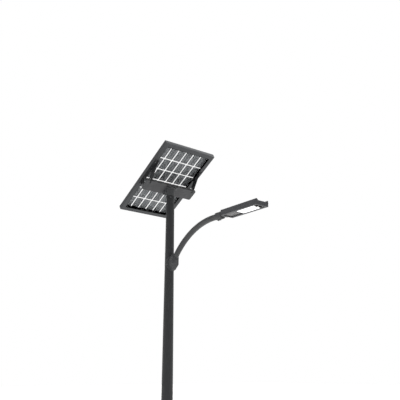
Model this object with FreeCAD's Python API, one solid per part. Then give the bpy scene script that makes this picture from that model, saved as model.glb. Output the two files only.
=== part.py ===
"""Solar street lamp: tapered pole, tilting solar module on a battery housing, bent arm and LED head.

Units are millimetres. X points along the lamp arm, Y across the module, Z up. The origin is on the
pole's axis, on the underside of the base flange. Pieces of the module and its carrier are drawn in
the module's own frame (s up the slope, y across, n out of the glass side) and then tilted.
"""
import FreeCAD, Part
import math
import os

from FreeCAD import Placement, Rotation, Vector

# ---------------------------------------------------------------- driving dimensions
# Pole and base
POLE_TOP_DIAMETER = 73.0
POLE_BASE_DIAMETER = 113.0
POLE_WALL = 3.5
POLE_HEIGHT = 3130.0
BASE_SIZE = 300.0
BASE_THICKNESS = 16.0
BASE_CORNER_RADIUS = 20.0
ANCHOR_SPACING = 220.0
ANCHOR_HOLE_DIAMETER = 20.0
BASE_CABLE_HOLE_DIAMETER = 80.0
GUSSET_HEIGHT = 95.0
GUSSET_THICKNESS = 8.0
GUSSET_EDGE_MARGIN = 14.0
GUSSET_TIP = 12.0

# Solar module
MODULE_LENGTH = 850.0
MODULE_WIDTH = 540.0
MODULE_DEPTH = 40.0
MODULE_TILT = 30.0
MODULE_ABOVE_POLE = 140.0
MODULE_HEIGHT = POLE_HEIGHT + MODULE_ABOVE_POLE
MODULE_OFFSET = -58.5
RAIL_WALL = 2.0
RAIL_FLANGE = 37.0
RAIL_LIP = 9.0
RAIL_SHELF = 12.0
GLASS_EDGE_GAP = 1.0
REAR_GLASS = 2.0
CELL_LAYER = 0.4
FRONT_GLASS = 3.2
CELL_COLUMNS = 6
CELL_ROWS = 6
CELL_MARGIN_ACROSS = 46.8
CELL_MARGIN_ALONG = 92.2
CELL_PITCH_ACROSS = (MODULE_WIDTH - CELL_MARGIN_ACROSS) / CELL_COLUMNS
CELL_PITCH_ALONG = (MODULE_LENGTH - CELL_MARGIN_ALONG) / CELL_ROWS
CELL_GAP = 10.0
CELL_FIELD_SHIFT = -12.2
RIBBON_WIDTH = 2.0
RIBBON_THICKNESS = 0.25

# Battery housing carried on the pole top
HOUSING_WIDTH = 115.0
HOUSING_CENTRE = -1.5
HOUSING_BODY_LENGTH = MODULE_WIDTH - 90.0
HOUSING_UNDERSIDE = -90.0
TRAY_DEPTH = 20.0
TRAY_WALL = 2.5
GASKET_THICKNESS = 1.2
LID_FLANGE = 2.5
LID_RISE = 22.0
END_CAP_CORNER = 12.0
BATTERY_CELL_DIAMETER = 32.4
BATTERY_CELL_LENGTH = 70.0
BATTERY_CELL_PITCH = 33.0

# Tilt hardware between housing and module
PIVOT_S = -42.0
PIVOT_N = -45.0
PIVOT_BOLT_DIAMETER = 10.0
LOCK_S = 46.0
LOCK_N = -80.0
LOCK_BOLT_DIAMETER = 8.0
TILT_TRAVEL = 15.0
TILT_ARM_Y = HOUSING_BODY_LENGTH / 2 + 7.0
TILT_ARM_THICKNESS = 5.0
TILT_ARM_ROOT = 225.0

# Swivel saddle on the pole top
SADDLE_PLATE = 18.0
SADDLE_PLATE_WIDTH = 100.0
SPIGOT_DIAMETER = 56.0
SPIGOT_LENGTH = 130.0
SPIGOT_BORE = 40.0

# Lamp arm
ARM_DIAMETER = 48.3
ARM_WALL = 2.6
ARM_BELOW_POLE_TOP = 335.0
ARM_HEIGHT = POLE_HEIGHT - ARM_BELOW_POLE_TOP
ARM_REACH = 712.0
ARM_BEND_START = ARM_REACH - 100.0
ARM_BEND_RADIUS = 680.0
ARM_BEND_ANGLE = 48.0
ARM_FOOT = 66.0
SADDLE_TOP = ARM_HEIGHT - 223.0
SADDLE_HEIGHT = 142.0
SADDLE_WALL = 6.0
SADDLE_BOTTOM = SADDLE_TOP - SADDLE_HEIGHT
SHIELD_START = 10.0
SHIELD_SHOULDER = 36.0
SHIELD_EDGE = 46.0
NOSE_HALF_WIDTH = ARM_DIAMETER / 2 + 8.8
NOSE_REACH = 111.0
NOSE_ROUNDING = 24.0

# Lamp head
HEAD_START = ARM_REACH + 60.0
HEAD_LENGTH = 394.0
HEAD_WIDTH = 125.0
HEAD_DEPTH = 46.0
HEAD_AXIS_HEIGHT = ARM_HEIGHT - 3.0
HEAD_WALL = 3.0
HEAD_DISH = 12.0
HEAD_RIM = 19.0
HEAD_RIM_DEPTH = 11.0
HEAD_FIN_COUNT = 7
HEAD_FIN_HEIGHT = 6.0
END_CAP_THICKNESS = 6.0
HEAD_PIVOT_X = HEAD_START - 24.0
HEAD_EAR_RADIUS = 18.0
HEAD_TONGUE = 28.0
HEAD_CLAMP_DIAMETER = 64.0
HEAD_CLAMP_LENGTH = 73.0
COVER_LENGTH = 134.0
COVER_THICKNESS = 3.0
LENS_START = HEAD_START + COVER_LENGTH + 21.0
LENS_END = HEAD_START + HEAD_LENGTH - 48.0
SENSOR_LENGTH = 37.0

# Clearances
CONTACT_GAP = 0.3
RUNNING_GAP = 0.05
LOOSE_GAP = 0.6

# Hexagon bolt heads: shank diameter -> (width across flats, head height)
HEX_SIZES = {4.0: (7.0, 2.8), 5.0: (8.0, 3.5), 6.0: (10.0, 4.0), 8.0: (13.0, 5.3),
             10.0: (16.0, 6.4), 12.0: (18.0, 7.5)}

X_AXIS = Vector(1, 0, 0)
Y_AXIS = Vector(0, 1, 0)
Z_AXIS = Vector(0, 0, 1)

NODES = {}


# ---------------------------------------------------------------- helpers
def add(name, shape):
    """Keep one named sub-part."""
    NODES[name] = shape


def box(x0, x1, y0, y1, z0, z1):
    """Axis-aligned box between two corners."""
    return Part.makeBox(x1 - x0, y1 - y0, z1 - z0, Vector(x0, y0, z0))


def rod(start, axis, radius, length):
    """Cylinder from a start point along an axis."""
    return Part.makeCylinder(radius, length, Vector(*start), axis)


def prism(points, y0, y1):
    """Outline in the XZ plane extruded from y0 to y1."""
    corners = [Vector(x, y0, z) for x, z in points]
    face = Part.Face(Part.makePolygon(corners + corners[:1]))
    return face.extrude(Vector(0, y1 - y0, 0))


def plan(points, z0, z1):
    """Outline in the XY plane extruded from z0 to z1."""
    corners = [Vector(x, y, z0) for x, y in points]
    face = Part.Face(Part.makePolygon(corners + corners[:1]))
    return face.extrude(Vector(0, 0, z1 - z0))


def rounded_prism(points, radii, y0, y1):
    """Outline in the XZ plane whose corners are rounded by the given radii, extruded along Y."""
    edges = []
    starts = []
    for k, radius in enumerate(radii):
        corner = Vector(points[k][0], y0, points[k][1])
        before = Vector(points[k - 1][0], y0, points[k - 1][1]) - corner
        after = Vector(points[(k + 1) % len(points)][0], y0, points[(k + 1) % len(points)][1]) - corner
        half_angle = before.getAngle(after) / 2
        back = radius / math.tan(half_angle)
        inward = (before.normalize() + after.normalize()).normalize()
        arc_start = corner + before * back
        arc_end = corner + after * back
        arc_middle = corner + inward * (radius / math.sin(half_angle) - radius)
        starts.append((arc_start, arc_end))
        if radius > 0:
            edges.append(Part.Arc(arc_start, arc_middle, arc_end).toShape())
    for k, (_, leave) in enumerate(starts):
        arrive = starts[(k + 1) % len(starts)][0]
        if leave.distanceToPoint(arrive) > 1e-6:
            edges.append(Part.LineSegment(leave, arrive).toShape())
    outline = Part.Wire(Part.__sortEdges__(edges))
    return Part.Face(outline).extrude(Vector(0, y1 - y0, 0))


def rounded_plate(size_x, size_y, thickness, radius, z0):
    """Plate centred on the Z axis with rounded vertical edges."""
    plate = box(-size_x / 2, size_x / 2, -size_y / 2, size_y / 2, z0, z0 + thickness)
    upright = [e for e in plate.Edges if abs(e.BoundBox.ZLength - thickness) < 1e-6]
    return plate.makeFillet(radius, upright)


def hexagon(centre, axis, across_flats, height):
    """Hexagonal prism standing on its centre point."""
    corner_radius = across_flats / math.sqrt(3)
    ring = [Vector(corner_radius * math.cos(math.radians(60 * k)),
                   corner_radius * math.sin(math.radians(60 * k)), 0) for k in range(7)]
    solid = Part.Face(Part.makePolygon(ring)).extrude(Vector(0, 0, height))
    solid.Placement = Placement(Vector(*centre), Rotation(Z_AXIS, axis))
    return solid


def bolt(head_seat, axis, diameter, length, nut_at=None):
    """Hex bolt whose head sits behind head_seat and whose shank runs along axis."""
    flats, height = HEX_SIZES[diameter]
    seat = Vector(*head_seat)
    solid = rod(seat, axis, diameter / 2, length).fuse(hexagon(seat, axis.negative(), flats, height))
    if nut_at is not None:
        solid = solid.fuse(hexagon(seat + axis * nut_at, axis, flats, height))
    return solid.removeSplitter()


def pan_screw(head_seat, axis, diameter, length):
    """Screw with a low round head behind head_seat."""
    seat = Vector(*head_seat)
    head = rod(seat, axis.negative(), diameter * 0.95, diameter * 0.55)
    return rod(seat, axis, diameter / 2, length).fuse(head).removeSplitter()


def group(solids):
    """Identical pieces kept as separate solids of one sub-part."""
    return Part.makeCompound(solids)


def tilt_in_place(shape):
    """Move a shape from the module's own frame to its tilted place on the lamp."""
    placed = shape.copy()
    turn = Rotation(Y_AXIS, -MODULE_TILT)
    placed.Placement = Placement(Vector(MODULE_OFFSET, 0, MODULE_HEIGHT), turn).multiply(placed.Placement)
    return placed


def untilt(shape):
    """Move an upright shape into the module's own frame, so it can be joined to tilted pieces."""
    placed = shape.copy()
    turn = Rotation(Y_AXIS, -MODULE_TILT)
    home = Placement(Vector(MODULE_OFFSET, 0, MODULE_HEIGHT), turn).inverse()
    placed.Placement = home.multiply(placed.Placement)
    return placed


def mirrored(shape):
    """The same piece on the other side of the XZ plane."""
    return shape.mirror(Vector(0, 0, 0), Y_AXIS)


# ---------------------------------------------------------------- pole
POLE_TAPER = (POLE_BASE_DIAMETER - POLE_TOP_DIAMETER) / 2 / (POLE_HEIGHT - BASE_THICKNESS)


def pole_radius(z):
    """Outside radius of the tapered pole at a height."""
    return POLE_TOP_DIAMETER / 2 + (POLE_HEIGHT - z) * POLE_TAPER


def pole_cone(z0, z1, offset=0.0):
    """Solid cone that follows the pole's outside, moved out by offset."""
    return Part.makeCone(pole_radius(z0) + offset, pole_radius(z1) + offset, z1 - z0,
                         Vector(0, 0, z0), Z_AXIS)


def make_pole():
    """Tapered tube with holes for the screws that hold the arm saddle and the spigot."""
    shaft = pole_cone(BASE_THICKNESS, POLE_HEIGHT).cut(pole_cone(BASE_THICKNESS, POLE_HEIGHT, -POLE_WALL))
    for seat, direction in azimuth_screw_places():
        shaft = shaft.cut(rod(seat, direction, AZIMUTH_SCREW / 2, pole_radius(seat.z)))
    for seat, direction in saddle_screw_places():
        shaft = shaft.cut(rod(seat, direction, SADDLE_SCREW / 2, SADDLE_SCREW_LENGTH))
    cable_way = rod((0, 0, SADDLE_TOP - SADDLE_HEIGHT / 2), X_AXIS, ARM_DIAMETER / 4, POLE_BASE_DIAMETER)
    add("pole_shaft", shaft.cut(cable_way))


def make_base():
    """Square base flange with four anchor holes, and the gussets that brace the pole."""
    flange = rounded_plate(BASE_SIZE, BASE_SIZE, BASE_THICKNESS, BASE_CORNER_RADIUS, 0)
    flange = flange.cut(rod((0, 0, 0), Z_AXIS, BASE_CABLE_HOLE_DIAMETER / 2, BASE_THICKNESS))
    for side_x in (-1, 1):
        for side_y in (-1, 1):
            centre = (side_x * ANCHOR_SPACING / 2, side_y * ANCHOR_SPACING / 2, 0)
            flange = flange.cut(rod(centre, Z_AXIS, ANCHOR_HOLE_DIAMETER / 2, BASE_THICKNESS))
    add("base_flange", flange)
    outer = BASE_SIZE / 2 - GUSSET_EDGE_MARGIN
    top = BASE_THICKNESS + GUSSET_HEIGHT
    outline = [(0, BASE_THICKNESS), (outer, BASE_THICKNESS), (outer, BASE_THICKNESS + GUSSET_TIP),
               (pole_radius(top) + GUSSET_TIP, top), (0, top)]
    blade = prism(outline, -GUSSET_THICKNESS / 2, GUSSET_THICKNESS / 2)
    blade = blade.cut(pole_cone(BASE_THICKNESS, top))
    gussets = []
    for quarter in range(4):
        piece = blade.copy()
        piece.rotate(Vector(0, 0, 0), Z_AXIS, 90 * quarter)
        gussets.append(piece)
    add("base_gussets", group(gussets))


EARTH_STUD = 8.0
EARTH_STUD_HEIGHT = 220.0
EARTH_STUD_REACH = 26.0


def make_earth_stud():
    """Welded earthing stud with two nuts on the back of the pole."""
    flats, height = HEX_SIZES[EARTH_STUD]
    start = pole_radius(EARTH_STUD_HEIGHT) - POLE_WALL / 2
    stud = rod((-start, 0, EARTH_STUD_HEIGHT), X_AXIS.negative(), EARTH_STUD / 2, EARTH_STUD_REACH)
    for step in (4.0, 13.0):
        seat = (-start - step, 0, EARTH_STUD_HEIGHT)
        stud = stud.fuse(hexagon(seat, X_AXIS.negative(), flats, height))
    add("earth_stud", stud.cut(pole_cone(BASE_THICKNESS, POLE_HEIGHT)))


RING_LENGTH = 40.0
AZIMUTH_SCREW = 8.0
AZIMUTH_SCREW_DROP = 20.0


def azimuth_screw_places():
    """Seats and directions of the three screws that lock the spigot's turn."""
    z = POLE_HEIGHT - AZIMUTH_SCREW_DROP
    places = []
    for angle in (90, 210, 330):
        outward = Vector(math.cos(math.radians(angle)), math.sin(math.radians(angle)), 0)
        places.append((outward * (pole_radius(z) + CONTACT_GAP) + Vector(0, 0, z), outward.negative()))
    return places


def make_pole_top():
    """Two guide rings inside the pole top and the screws that lock the spigot."""
    rings = []
    for top in (POLE_HEIGHT, POLE_HEIGHT - SPIGOT_LENGTH + RING_LENGTH):
        ring = pole_cone(top - RING_LENGTH, top, -POLE_WALL)
        bore = rod((0, 0, top - RING_LENGTH), Z_AXIS, SPIGOT_DIAMETER / 2 + RUNNING_GAP, RING_LENGTH)
        ring = ring.cut(bore)
        for seat, direction in azimuth_screw_places():
            ring = ring.cut(rod(seat, direction, AZIMUTH_SCREW / 2, pole_radius(seat.z)))
        rings.append(ring)
    add("spigot_rings", group(rings))
    screws = []
    for seat, direction in azimuth_screw_places():
        reach = seat.dot(direction.negative()) - SPIGOT_DIAMETER / 2 - CONTACT_GAP
        screws.append(bolt(seat, direction, AZIMUTH_SCREW, reach))
    add("azimuth_screws", group(screws))


# ---------------------------------------------------------------- arm and its saddle on the pole
SADDLE_SCREW = 8.0
SADDLE_SCREW_LENGTH = 22.0
SADDLE_SCREW_ANGLE = 58.0
SADDLE_SCREW_HEIGHT = SADDLE_TOP - SHIELD_SHOULDER - SHIELD_EDGE / 2
SADDLE_SCREW_SPREAD = 19.0
ARM_BOLT = 10.0
ARM_BOLT_SEAT = NOSE_HALF_WIDTH - 6.0
ARM_BOLT_RECESS = 11.0
ARM_BOLT_DISTANCES = (36.0, 13.0)


def saddle_screw_places():
    """Seats and directions of the four screws that hold the arm saddle to the pole."""
    places = []
    for z in (SADDLE_SCREW_HEIGHT + SADDLE_SCREW_SPREAD, SADDLE_SCREW_HEIGHT - SADDLE_SCREW_SPREAD):
        for side in (-1, 1):
            angle = math.radians(side * SADDLE_SCREW_ANGLE)
            outward = Vector(math.cos(angle), math.sin(angle), 0)
            seat = outward * (pole_radius(z) + SADDLE_WALL + CONTACT_GAP) + Vector(0, 0, z)
            places.append((seat, outward.negative()))
    return places


def arm_path():
    """Centre line of the arm from its free end down to its foot, with the foot's direction."""
    turn = math.radians(ARM_BEND_ANGLE)
    centre = Vector(ARM_BEND_START, 0, ARM_HEIGHT - ARM_BEND_RADIUS)
    head_end = Vector(ARM_REACH, 0, ARM_HEIGHT)
    bend_start = Vector(ARM_BEND_START, 0, ARM_HEIGHT)
    bend_middle = centre + Vector(-math.sin(turn / 2), 0, math.cos(turn / 2)) * ARM_BEND_RADIUS
    bend_end = centre + Vector(-math.sin(turn), 0, math.cos(turn)) * ARM_BEND_RADIUS
    downhill = Vector(-math.cos(turn), 0, -math.sin(turn))
    foot = bend_end + downhill * ARM_FOOT
    edges = [Part.LineSegment(head_end, bend_start).toShape(),
             Part.Arc(bend_start, bend_middle, bend_end).toShape(),
             Part.LineSegment(bend_end, foot).toShape()]
    return Part.Wire(edges), head_end, bend_end, downhill


def arm_bolt_places():
    """Centres of the two bolts through the arm's foot."""
    _, _, bend_end, downhill = arm_path()
    return [bend_end + downhill * (ARM_FOOT - distance) for distance in ARM_BOLT_DISTANCES]


def make_arm():
    """Bent lamp arm: one tube, horizontal at the head and steep at the pole."""
    wire, head_end, _, _ = arm_path()
    outer = wire.makePipe(Part.Face(Part.Wire(Part.makeCircle(ARM_DIAMETER / 2, head_end, X_AXIS))))
    bore_radius = ARM_DIAMETER / 2 - ARM_WALL
    bore = wire.makePipe(Part.Face(Part.Wire(Part.makeCircle(bore_radius, head_end, X_AXIS))))
    tube = outer.cut(bore)
    for centre in arm_bolt_places():
        start = centre - Y_AXIS * ARM_DIAMETER
        tube = tube.cut(rod(start, Y_AXIS, ARM_BOLT / 2, 2 * ARM_DIAMETER))
    add("arm_tube", tube)


def saddle_shield():
    """Curved plate of the saddle, shield-shaped from the front, that lies against the pole."""
    edge_high = SADDLE_TOP - SHIELD_SHOULDER
    edge_low = edge_high - SHIELD_EDGE
    front = pole_radius(SADDLE_BOTTOM) + SADDLE_WALL + LOOSE_GAP
    outline = [(SHIELD_START, edge_low), (front, SADDLE_BOTTOM), (front, SADDLE_TOP), (SHIELD_START, edge_high)]
    shield = rounded_prism(outline, [6, 0, 0, 6], -POLE_BASE_DIAMETER, POLE_BASE_DIAMETER)
    return pole_cone(SADDLE_BOTTOM, SADDLE_TOP, SADDLE_WALL).common(shield)


def saddle_nose():
    """Solid nose of the saddle, rounded in front and narrower towards its bottom."""
    root = pole_radius(SADDLE_TOP) - SADDLE_WALL
    side = [(root, SADDLE_TOP - 35), (50.0, SADDLE_TOP - 33), (80.0, SADDLE_TOP - 2), (96.0, SADDLE_TOP - 4),
            (NOSE_REACH, SADDLE_TOP - 32), (NOSE_REACH, SADDLE_TOP - 48), (104.0, SADDLE_TOP - 70),
            (90.0, SADDLE_TOP - 98), (72.0, SADDLE_TOP - 128), (root, SADDLE_BOTTOM + 4)]
    side_radii = [0, 5, 5, 12, 12, 12, 24, 20, 12, 0]
    wide = NOSE_HALF_WIDTH + 3.0
    nose = rounded_prism(side, side_radii, -wide, wide)
    narrow = NOSE_HALF_WIDTH / 3
    front = [(-wide, SADDLE_TOP + 2), (-wide, SADDLE_TOP - 66), (-narrow, SADDLE_BOTTOM + 2),
             (narrow, SADDLE_BOTTOM + 2), (wide, SADDLE_TOP - 66), (wide, SADDLE_TOP + 2)]
    funnel = rounded_prism(front, [0, 0, 8, 8, 0, 0], -NOSE_REACH - 5, 5)
    funnel.rotate(Vector(0, 0, 0), Z_AXIS, 90)
    column = box(-4, NOSE_REACH, -NOSE_HALF_WIDTH, NOSE_HALF_WIDTH, SADDLE_BOTTOM - 4, SADDLE_TOP + 4)
    corners = [e for e in column.Edges if e.BoundBox.XMin > NOSE_REACH - 1 and e.BoundBox.ZLength > 1]
    return nose.common(funnel).common(column.makeFillet(NOSE_ROUNDING, corners))


def make_arm_saddle():
    """Cast saddle: a curved plate against the pole and a nose that the arm's foot is bolted into."""
    saddle = saddle_shield().fuse(saddle_nose()).cut(pole_cone(SADDLE_BOTTOM - 1, SADDLE_TOP + 20))
    _, _, bend_end, downhill = arm_path()
    socket_radius = ARM_DIAMETER / 2 + RUNNING_GAP
    mouth = bend_end - downhill * ARM_DIAMETER
    saddle = saddle.cut(rod(mouth, downhill, socket_radius, ARM_DIAMETER + ARM_FOOT + RUNNING_GAP))
    cable_radius = ARM_DIAMETER / 2 - ARM_WALL - 4.0
    saddle = saddle.cut(rod(bend_end, downhill, cable_radius, 2 * ARM_FOOT))
    for centre in arm_bolt_places():
        start = centre - Y_AXIS * POLE_BASE_DIAMETER
        saddle = saddle.cut(rod(start, Y_AXIS, ARM_BOLT / 2, 2 * POLE_BASE_DIAMETER))
        for side in (-1, 1):
            seat = centre + Y_AXIS * side * ARM_BOLT_SEAT
            saddle = saddle.cut(rod(seat, Y_AXIS * side, ARM_BOLT_RECESS, NOSE_HALF_WIDTH))
    for seat, direction in saddle_screw_places():
        saddle = saddle.cut(rod(seat - direction * SADDLE_WALL, direction, SADDLE_SCREW / 2, 4 * SADDLE_WALL))
    add("arm_saddle", saddle.removeSplitter())

    screws = [bolt(seat, direction, SADDLE_SCREW, SADDLE_SCREW_LENGTH)
              for seat, direction in saddle_screw_places()]
    add("saddle_screws", group(screws))
    bolts = []
    for centre in arm_bolt_places():
        seat = centre - Y_AXIS * ARM_BOLT_SEAT
        bolts.append(bolt(seat, Y_AXIS, ARM_BOLT, 2 * ARM_BOLT_SEAT + HEX_SIZES[ARM_BOLT][1] + 4,
                          2 * ARM_BOLT_SEAT))
    add("arm_bolts", group(bolts))


HEAD_CLAMP_START = ARM_REACH - 57.0
HEAD_CLAMP_SCREW = 8.0
HEAD_PIVOT_BOLT = 10.0
HEAD_EAR_THICKNESS = 15.0


def make_head_clamp():
    """Socket clamped on the arm's end, with the tongue that the lamp head tilts on."""
    end = HEAD_CLAMP_START + HEAD_CLAMP_LENGTH
    radius = HEAD_CLAMP_DIAMETER / 2
    body = rod((HEAD_CLAMP_START, 0, ARM_HEIGHT), X_AXIS, radius, HEAD_CLAMP_LENGTH)
    rims = [e for e in body.Edges if e.Length > 3 * radius]
    body = body.makeFillet(4.0, rims)
    half_tongue = HEAD_TONGUE / 2
    tongue = rod((HEAD_PIVOT_X, -half_tongue, HEAD_AXIS_HEIGHT), Y_AXIS, HEAD_EAR_RADIUS, HEAD_TONGUE)
    neck = box(end - 8, HEAD_PIVOT_X, -half_tongue, half_tongue,
               HEAD_AXIS_HEIGHT - HEAD_EAR_RADIUS, HEAD_AXIS_HEIGHT + HEAD_EAR_RADIUS)
    body = body.fuse([tongue, neck])
    body = body.cut(rod((HEAD_CLAMP_START, 0, ARM_HEIGHT), X_AXIS, ARM_DIAMETER / 2 + RUNNING_GAP,
                        ARM_REACH - HEAD_CLAMP_START + CONTACT_GAP))
    body = body.cut(rod((HEAD_PIVOT_X, -half_tongue, HEAD_AXIS_HEIGHT), Y_AXIS, HEAD_PIVOT_BOLT / 2, HEAD_TONGUE))
    body = body.cut(rod((HEAD_CLAMP_START, 0, ARM_HEIGHT), X_AXIS, ARM_DIAMETER / 3, HEAD_CLAMP_LENGTH - 4))
    screws = []
    for x in (HEAD_CLAMP_START + 20, HEAD_CLAMP_START + 43):
        seat = (x, 0, ARM_HEIGHT - radius - 1.0)
        length = radius + 1.0 - ARM_DIAMETER / 2
        body = body.cut(rod((x, 0, ARM_HEIGHT - radius - 1.0), Z_AXIS, HEAD_CLAMP_SCREW / 2, length))
        screws.append(bolt(seat, Z_AXIS, HEAD_CLAMP_SCREW, length))
    add("head_clamp", body.removeSplitter())
    add("head_clamp_screws", group(screws))
    outside = HEAD_TONGUE / 2 + CONTACT_GAP + HEAD_EAR_THICKNESS + CONTACT_GAP
    seat = (HEAD_PIVOT_X, -outside, HEAD_AXIS_HEIGHT)
    length = 2 * outside + HEX_SIZES[HEAD_PIVOT_BOLT][1] + 3
    add("head_pivot_bolt", bolt(seat, Y_AXIS, HEAD_PIVOT_BOLT, length, 2 * outside))


# ---------------------------------------------------------------- solar module
def rail_profile():
    """Rail cross-section: inward distance and height above the back plane."""
    shelf_top = glass_bottom()
    pocket_top = glass_bottom() + glass_stack()
    wall = RAIL_WALL
    return [(0, 0), (RAIL_FLANGE, 0), (RAIL_FLANGE, wall), (wall, wall), (wall, shelf_top - wall),
            (RAIL_SHELF, shelf_top - wall), (RAIL_SHELF, shelf_top), (wall, shelf_top), (wall, pocket_top),
            (RAIL_LIP, pocket_top), (RAIL_LIP, MODULE_DEPTH), (0, MODULE_DEPTH)]


def glass_stack():
    """Thickness of the glass, cell and glass sandwich."""
    return REAR_GLASS + CELL_LAYER + FRONT_GLASS


def glass_bottom():
    """Height of the rear glass's outer face above the back plane."""
    return MODULE_DEPTH - RAIL_WALL - glass_stack()


def make_rails():
    """Four mitred frame rails."""
    half_length = MODULE_LENGTH / 2
    half_width = MODULE_WIDTH / 2
    corner = RAIL_FLANGE
    profile = rail_profile()
    side = Part.Face(Part.makePolygon([Vector(-half_length, -half_width + a, n) for a, n in profile + profile[:1]]))
    side = side.extrude(Vector(MODULE_LENGTH, 0, 0))
    side = side.common(plan([(-half_length, -half_width), (half_length, -half_width),
                             (half_length - corner, -half_width + corner),
                             (-half_length + corner, -half_width + corner)], 0, MODULE_DEPTH))
    end = Part.Face(Part.makePolygon([Vector(-half_length + a, -half_width, n) for a, n in profile + profile[:1]]))
    end = end.extrude(Vector(0, MODULE_WIDTH, 0))
    end = end.common(plan([(-half_length, -half_width), (-half_length, half_width),
                           (-half_length + corner, half_width - corner),
                           (-half_length + corner, -half_width + corner)], 0, MODULE_DEPTH))
    for s, y in arm_screw_places() + leaf_screw_places():
        side = side.cut(rod((s, y, -1), Z_AXIS, MODULE_SCREW / 2, RAIL_WALL + 2))
    add("side_rail_left", tilt_in_place(side))
    add("side_rail_right", tilt_in_place(mirrored(side)))
    add("lower_rail", tilt_in_place(end))
    add("upper_rail", tilt_in_place(end.mirror(Vector(0, 0, 0), X_AXIS)))


CORNER_KEY_LEG = 45.0
CORNER_KEY_WALL = 3.0


def make_corner_keys():
    """Four angle keys screwed inside the frame corners."""
    low = RAIL_WALL
    high = glass_bottom() - RAIL_WALL
    keys = []
    for side_s in (-1, 1):
        for side_y in (-1, 1):
            s_out = side_s * (MODULE_LENGTH / 2 - RAIL_WALL)
            y_out = side_y * (MODULE_WIDTH / 2 - RAIL_WALL)
            s_in = s_out - side_s * CORNER_KEY_LEG
            y_in = y_out - side_y * CORNER_KEY_LEG
            s_wall = s_out - side_s * CORNER_KEY_WALL
            y_wall = y_out - side_y * CORNER_KEY_WALL
            keys.append(plan([(s_out, y_out), (s_in, y_out), (s_in, y_wall), (s_wall, y_wall),
                              (s_wall, y_in), (s_out, y_in)], low, high))
    add("corner_keys", tilt_in_place(group(keys)))


def glass_pane(n0, n1):
    """Pane of the laminate between two heights."""
    half_s = MODULE_LENGTH / 2 - RAIL_WALL - GLASS_EDGE_GAP
    half_y = MODULE_WIDTH / 2 - RAIL_WALL - GLASS_EDGE_GAP
    return box(-half_s, half_s, -half_y, half_y, n0, n1)


def cell_centres():
    """Centres of the solar cells in the module's frame."""
    centres = []
    for row in range(CELL_ROWS):
        for column in range(CELL_COLUMNS):
            s = CELL_FIELD_SHIFT + (row - (CELL_ROWS - 1) / 2) * CELL_PITCH_ALONG
            y = (column - (CELL_COLUMNS - 1) / 2) * CELL_PITCH_ACROSS
            centres.append((s, y))
    return centres


def make_laminate():
    """Front glass, solar cells, ribbons, rear glass and the black border film round the cells."""
    bottom = glass_bottom()
    cells_at = bottom + REAR_GLASS
    add("rear_glass", tilt_in_place(glass_pane(bottom, cells_at)))
    add("front_glass", tilt_in_place(glass_pane(cells_at + CELL_LAYER, cells_at + CELL_LAYER + FRONT_GLASS)))
    half_s = (CELL_PITCH_ALONG - CELL_GAP) / 2
    half_y = (CELL_PITCH_ACROSS - CELL_GAP) / 2
    cells = [box(s - half_s, s + half_s, y - half_y, y + half_y, cells_at + RIBBON_THICKNESS, cells_at + CELL_LAYER)
             for s, y in cell_centres()]
    add("solar_cells", tilt_in_place(group(cells)))
    ribbons = []
    field_half = (CELL_ROWS * CELL_PITCH_ALONG - CELL_GAP) / 2
    for column in range(CELL_COLUMNS):
        for side in (-1, 1):
            y = (column - (CELL_COLUMNS - 1) / 2) * CELL_PITCH_ACROSS + side * CELL_PITCH_ACROSS / 5
            ribbons.append(box(CELL_FIELD_SHIFT - field_half, CELL_FIELD_SHIFT + field_half,
                               y - RIBBON_WIDTH / 2, y + RIBBON_WIDTH / 2, cells_at, cells_at + RIBBON_THICKNESS))
    add("cell_ribbons", tilt_in_place(group(ribbons)))
    border = glass_pane(cells_at, cells_at + CELL_LAYER)
    half_s = (CELL_ROWS * CELL_PITCH_ALONG - CELL_GAP) / 2 + CONTACT_GAP
    half_y = (CELL_COLUMNS * CELL_PITCH_ACROSS - CELL_GAP) / 2 + CONTACT_GAP
    border = border.cut(box(CELL_FIELD_SHIFT - half_s, CELL_FIELD_SHIFT + half_s, -half_y, half_y,
                            cells_at, cells_at + CELL_LAYER))
    add("black_border", tilt_in_place(border))


JUNCTION_S = -72.0
JUNCTION_LENGTH = 84.0
JUNCTION_WIDTH = 74.0
JUNCTION_DEPTH = 19.0
JUNCTION_LID = 3.0


def make_junction_box():
    """Junction box bonded to the rear glass, with its lid."""
    top = glass_bottom()
    low = top - JUNCTION_DEPTH
    s0, s1 = JUNCTION_S - JUNCTION_LENGTH / 2, JUNCTION_S + JUNCTION_LENGTH / 2
    half_y = JUNCTION_WIDTH / 2
    wall = 2.0
    base = box(s0, s1, -half_y, half_y, low + JUNCTION_LID, top)
    base = base.cut(box(s0 + wall, s1 - wall, -half_y + wall, half_y - wall, low + JUNCTION_LID, top - wall))
    lid = box(s0 - 1, s1 + 1, -half_y - 1, half_y + 1, low, low + JUNCTION_LID)
    upright = [e for e in lid.Edges if abs(e.BoundBox.ZLength - JUNCTION_LID) < 1e-6]
    add("junction_box", tilt_in_place(base))
    add("junction_box_lid", tilt_in_place(lid.makeFillet(5.0, upright)))


# ---------------------------------------------------------------- tilt hardware on the module
MODULE_SCREW = 6.0
LEAF_Y = TILT_ARM_Y + 15.0
LEAF_THICKNESS = 4.0
LEAF_TAB = 19.0
LEAF_RADIUS = 14.0
TAB_THICKNESS = 4.0
LOCK_MARGIN = 9.0


def arm_screw_places():
    """Places of the screws that hold a tilt arm under the module's side flange."""
    y = -TILT_ARM_Y - TILT_ARM_THICKNESS - 13.0
    return [(TILT_ARM_ROOT - 25.0, y), (TILT_ARM_ROOT - 90.0, y)]


def leaf_screw_places():
    """Places of the screws that hold a hinge leaf under the module's side flange."""
    y = -LEAF_Y - 12.0
    return [(PIVOT_S - 22.0, y), (PIVOT_S + 22.0, y)]


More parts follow.
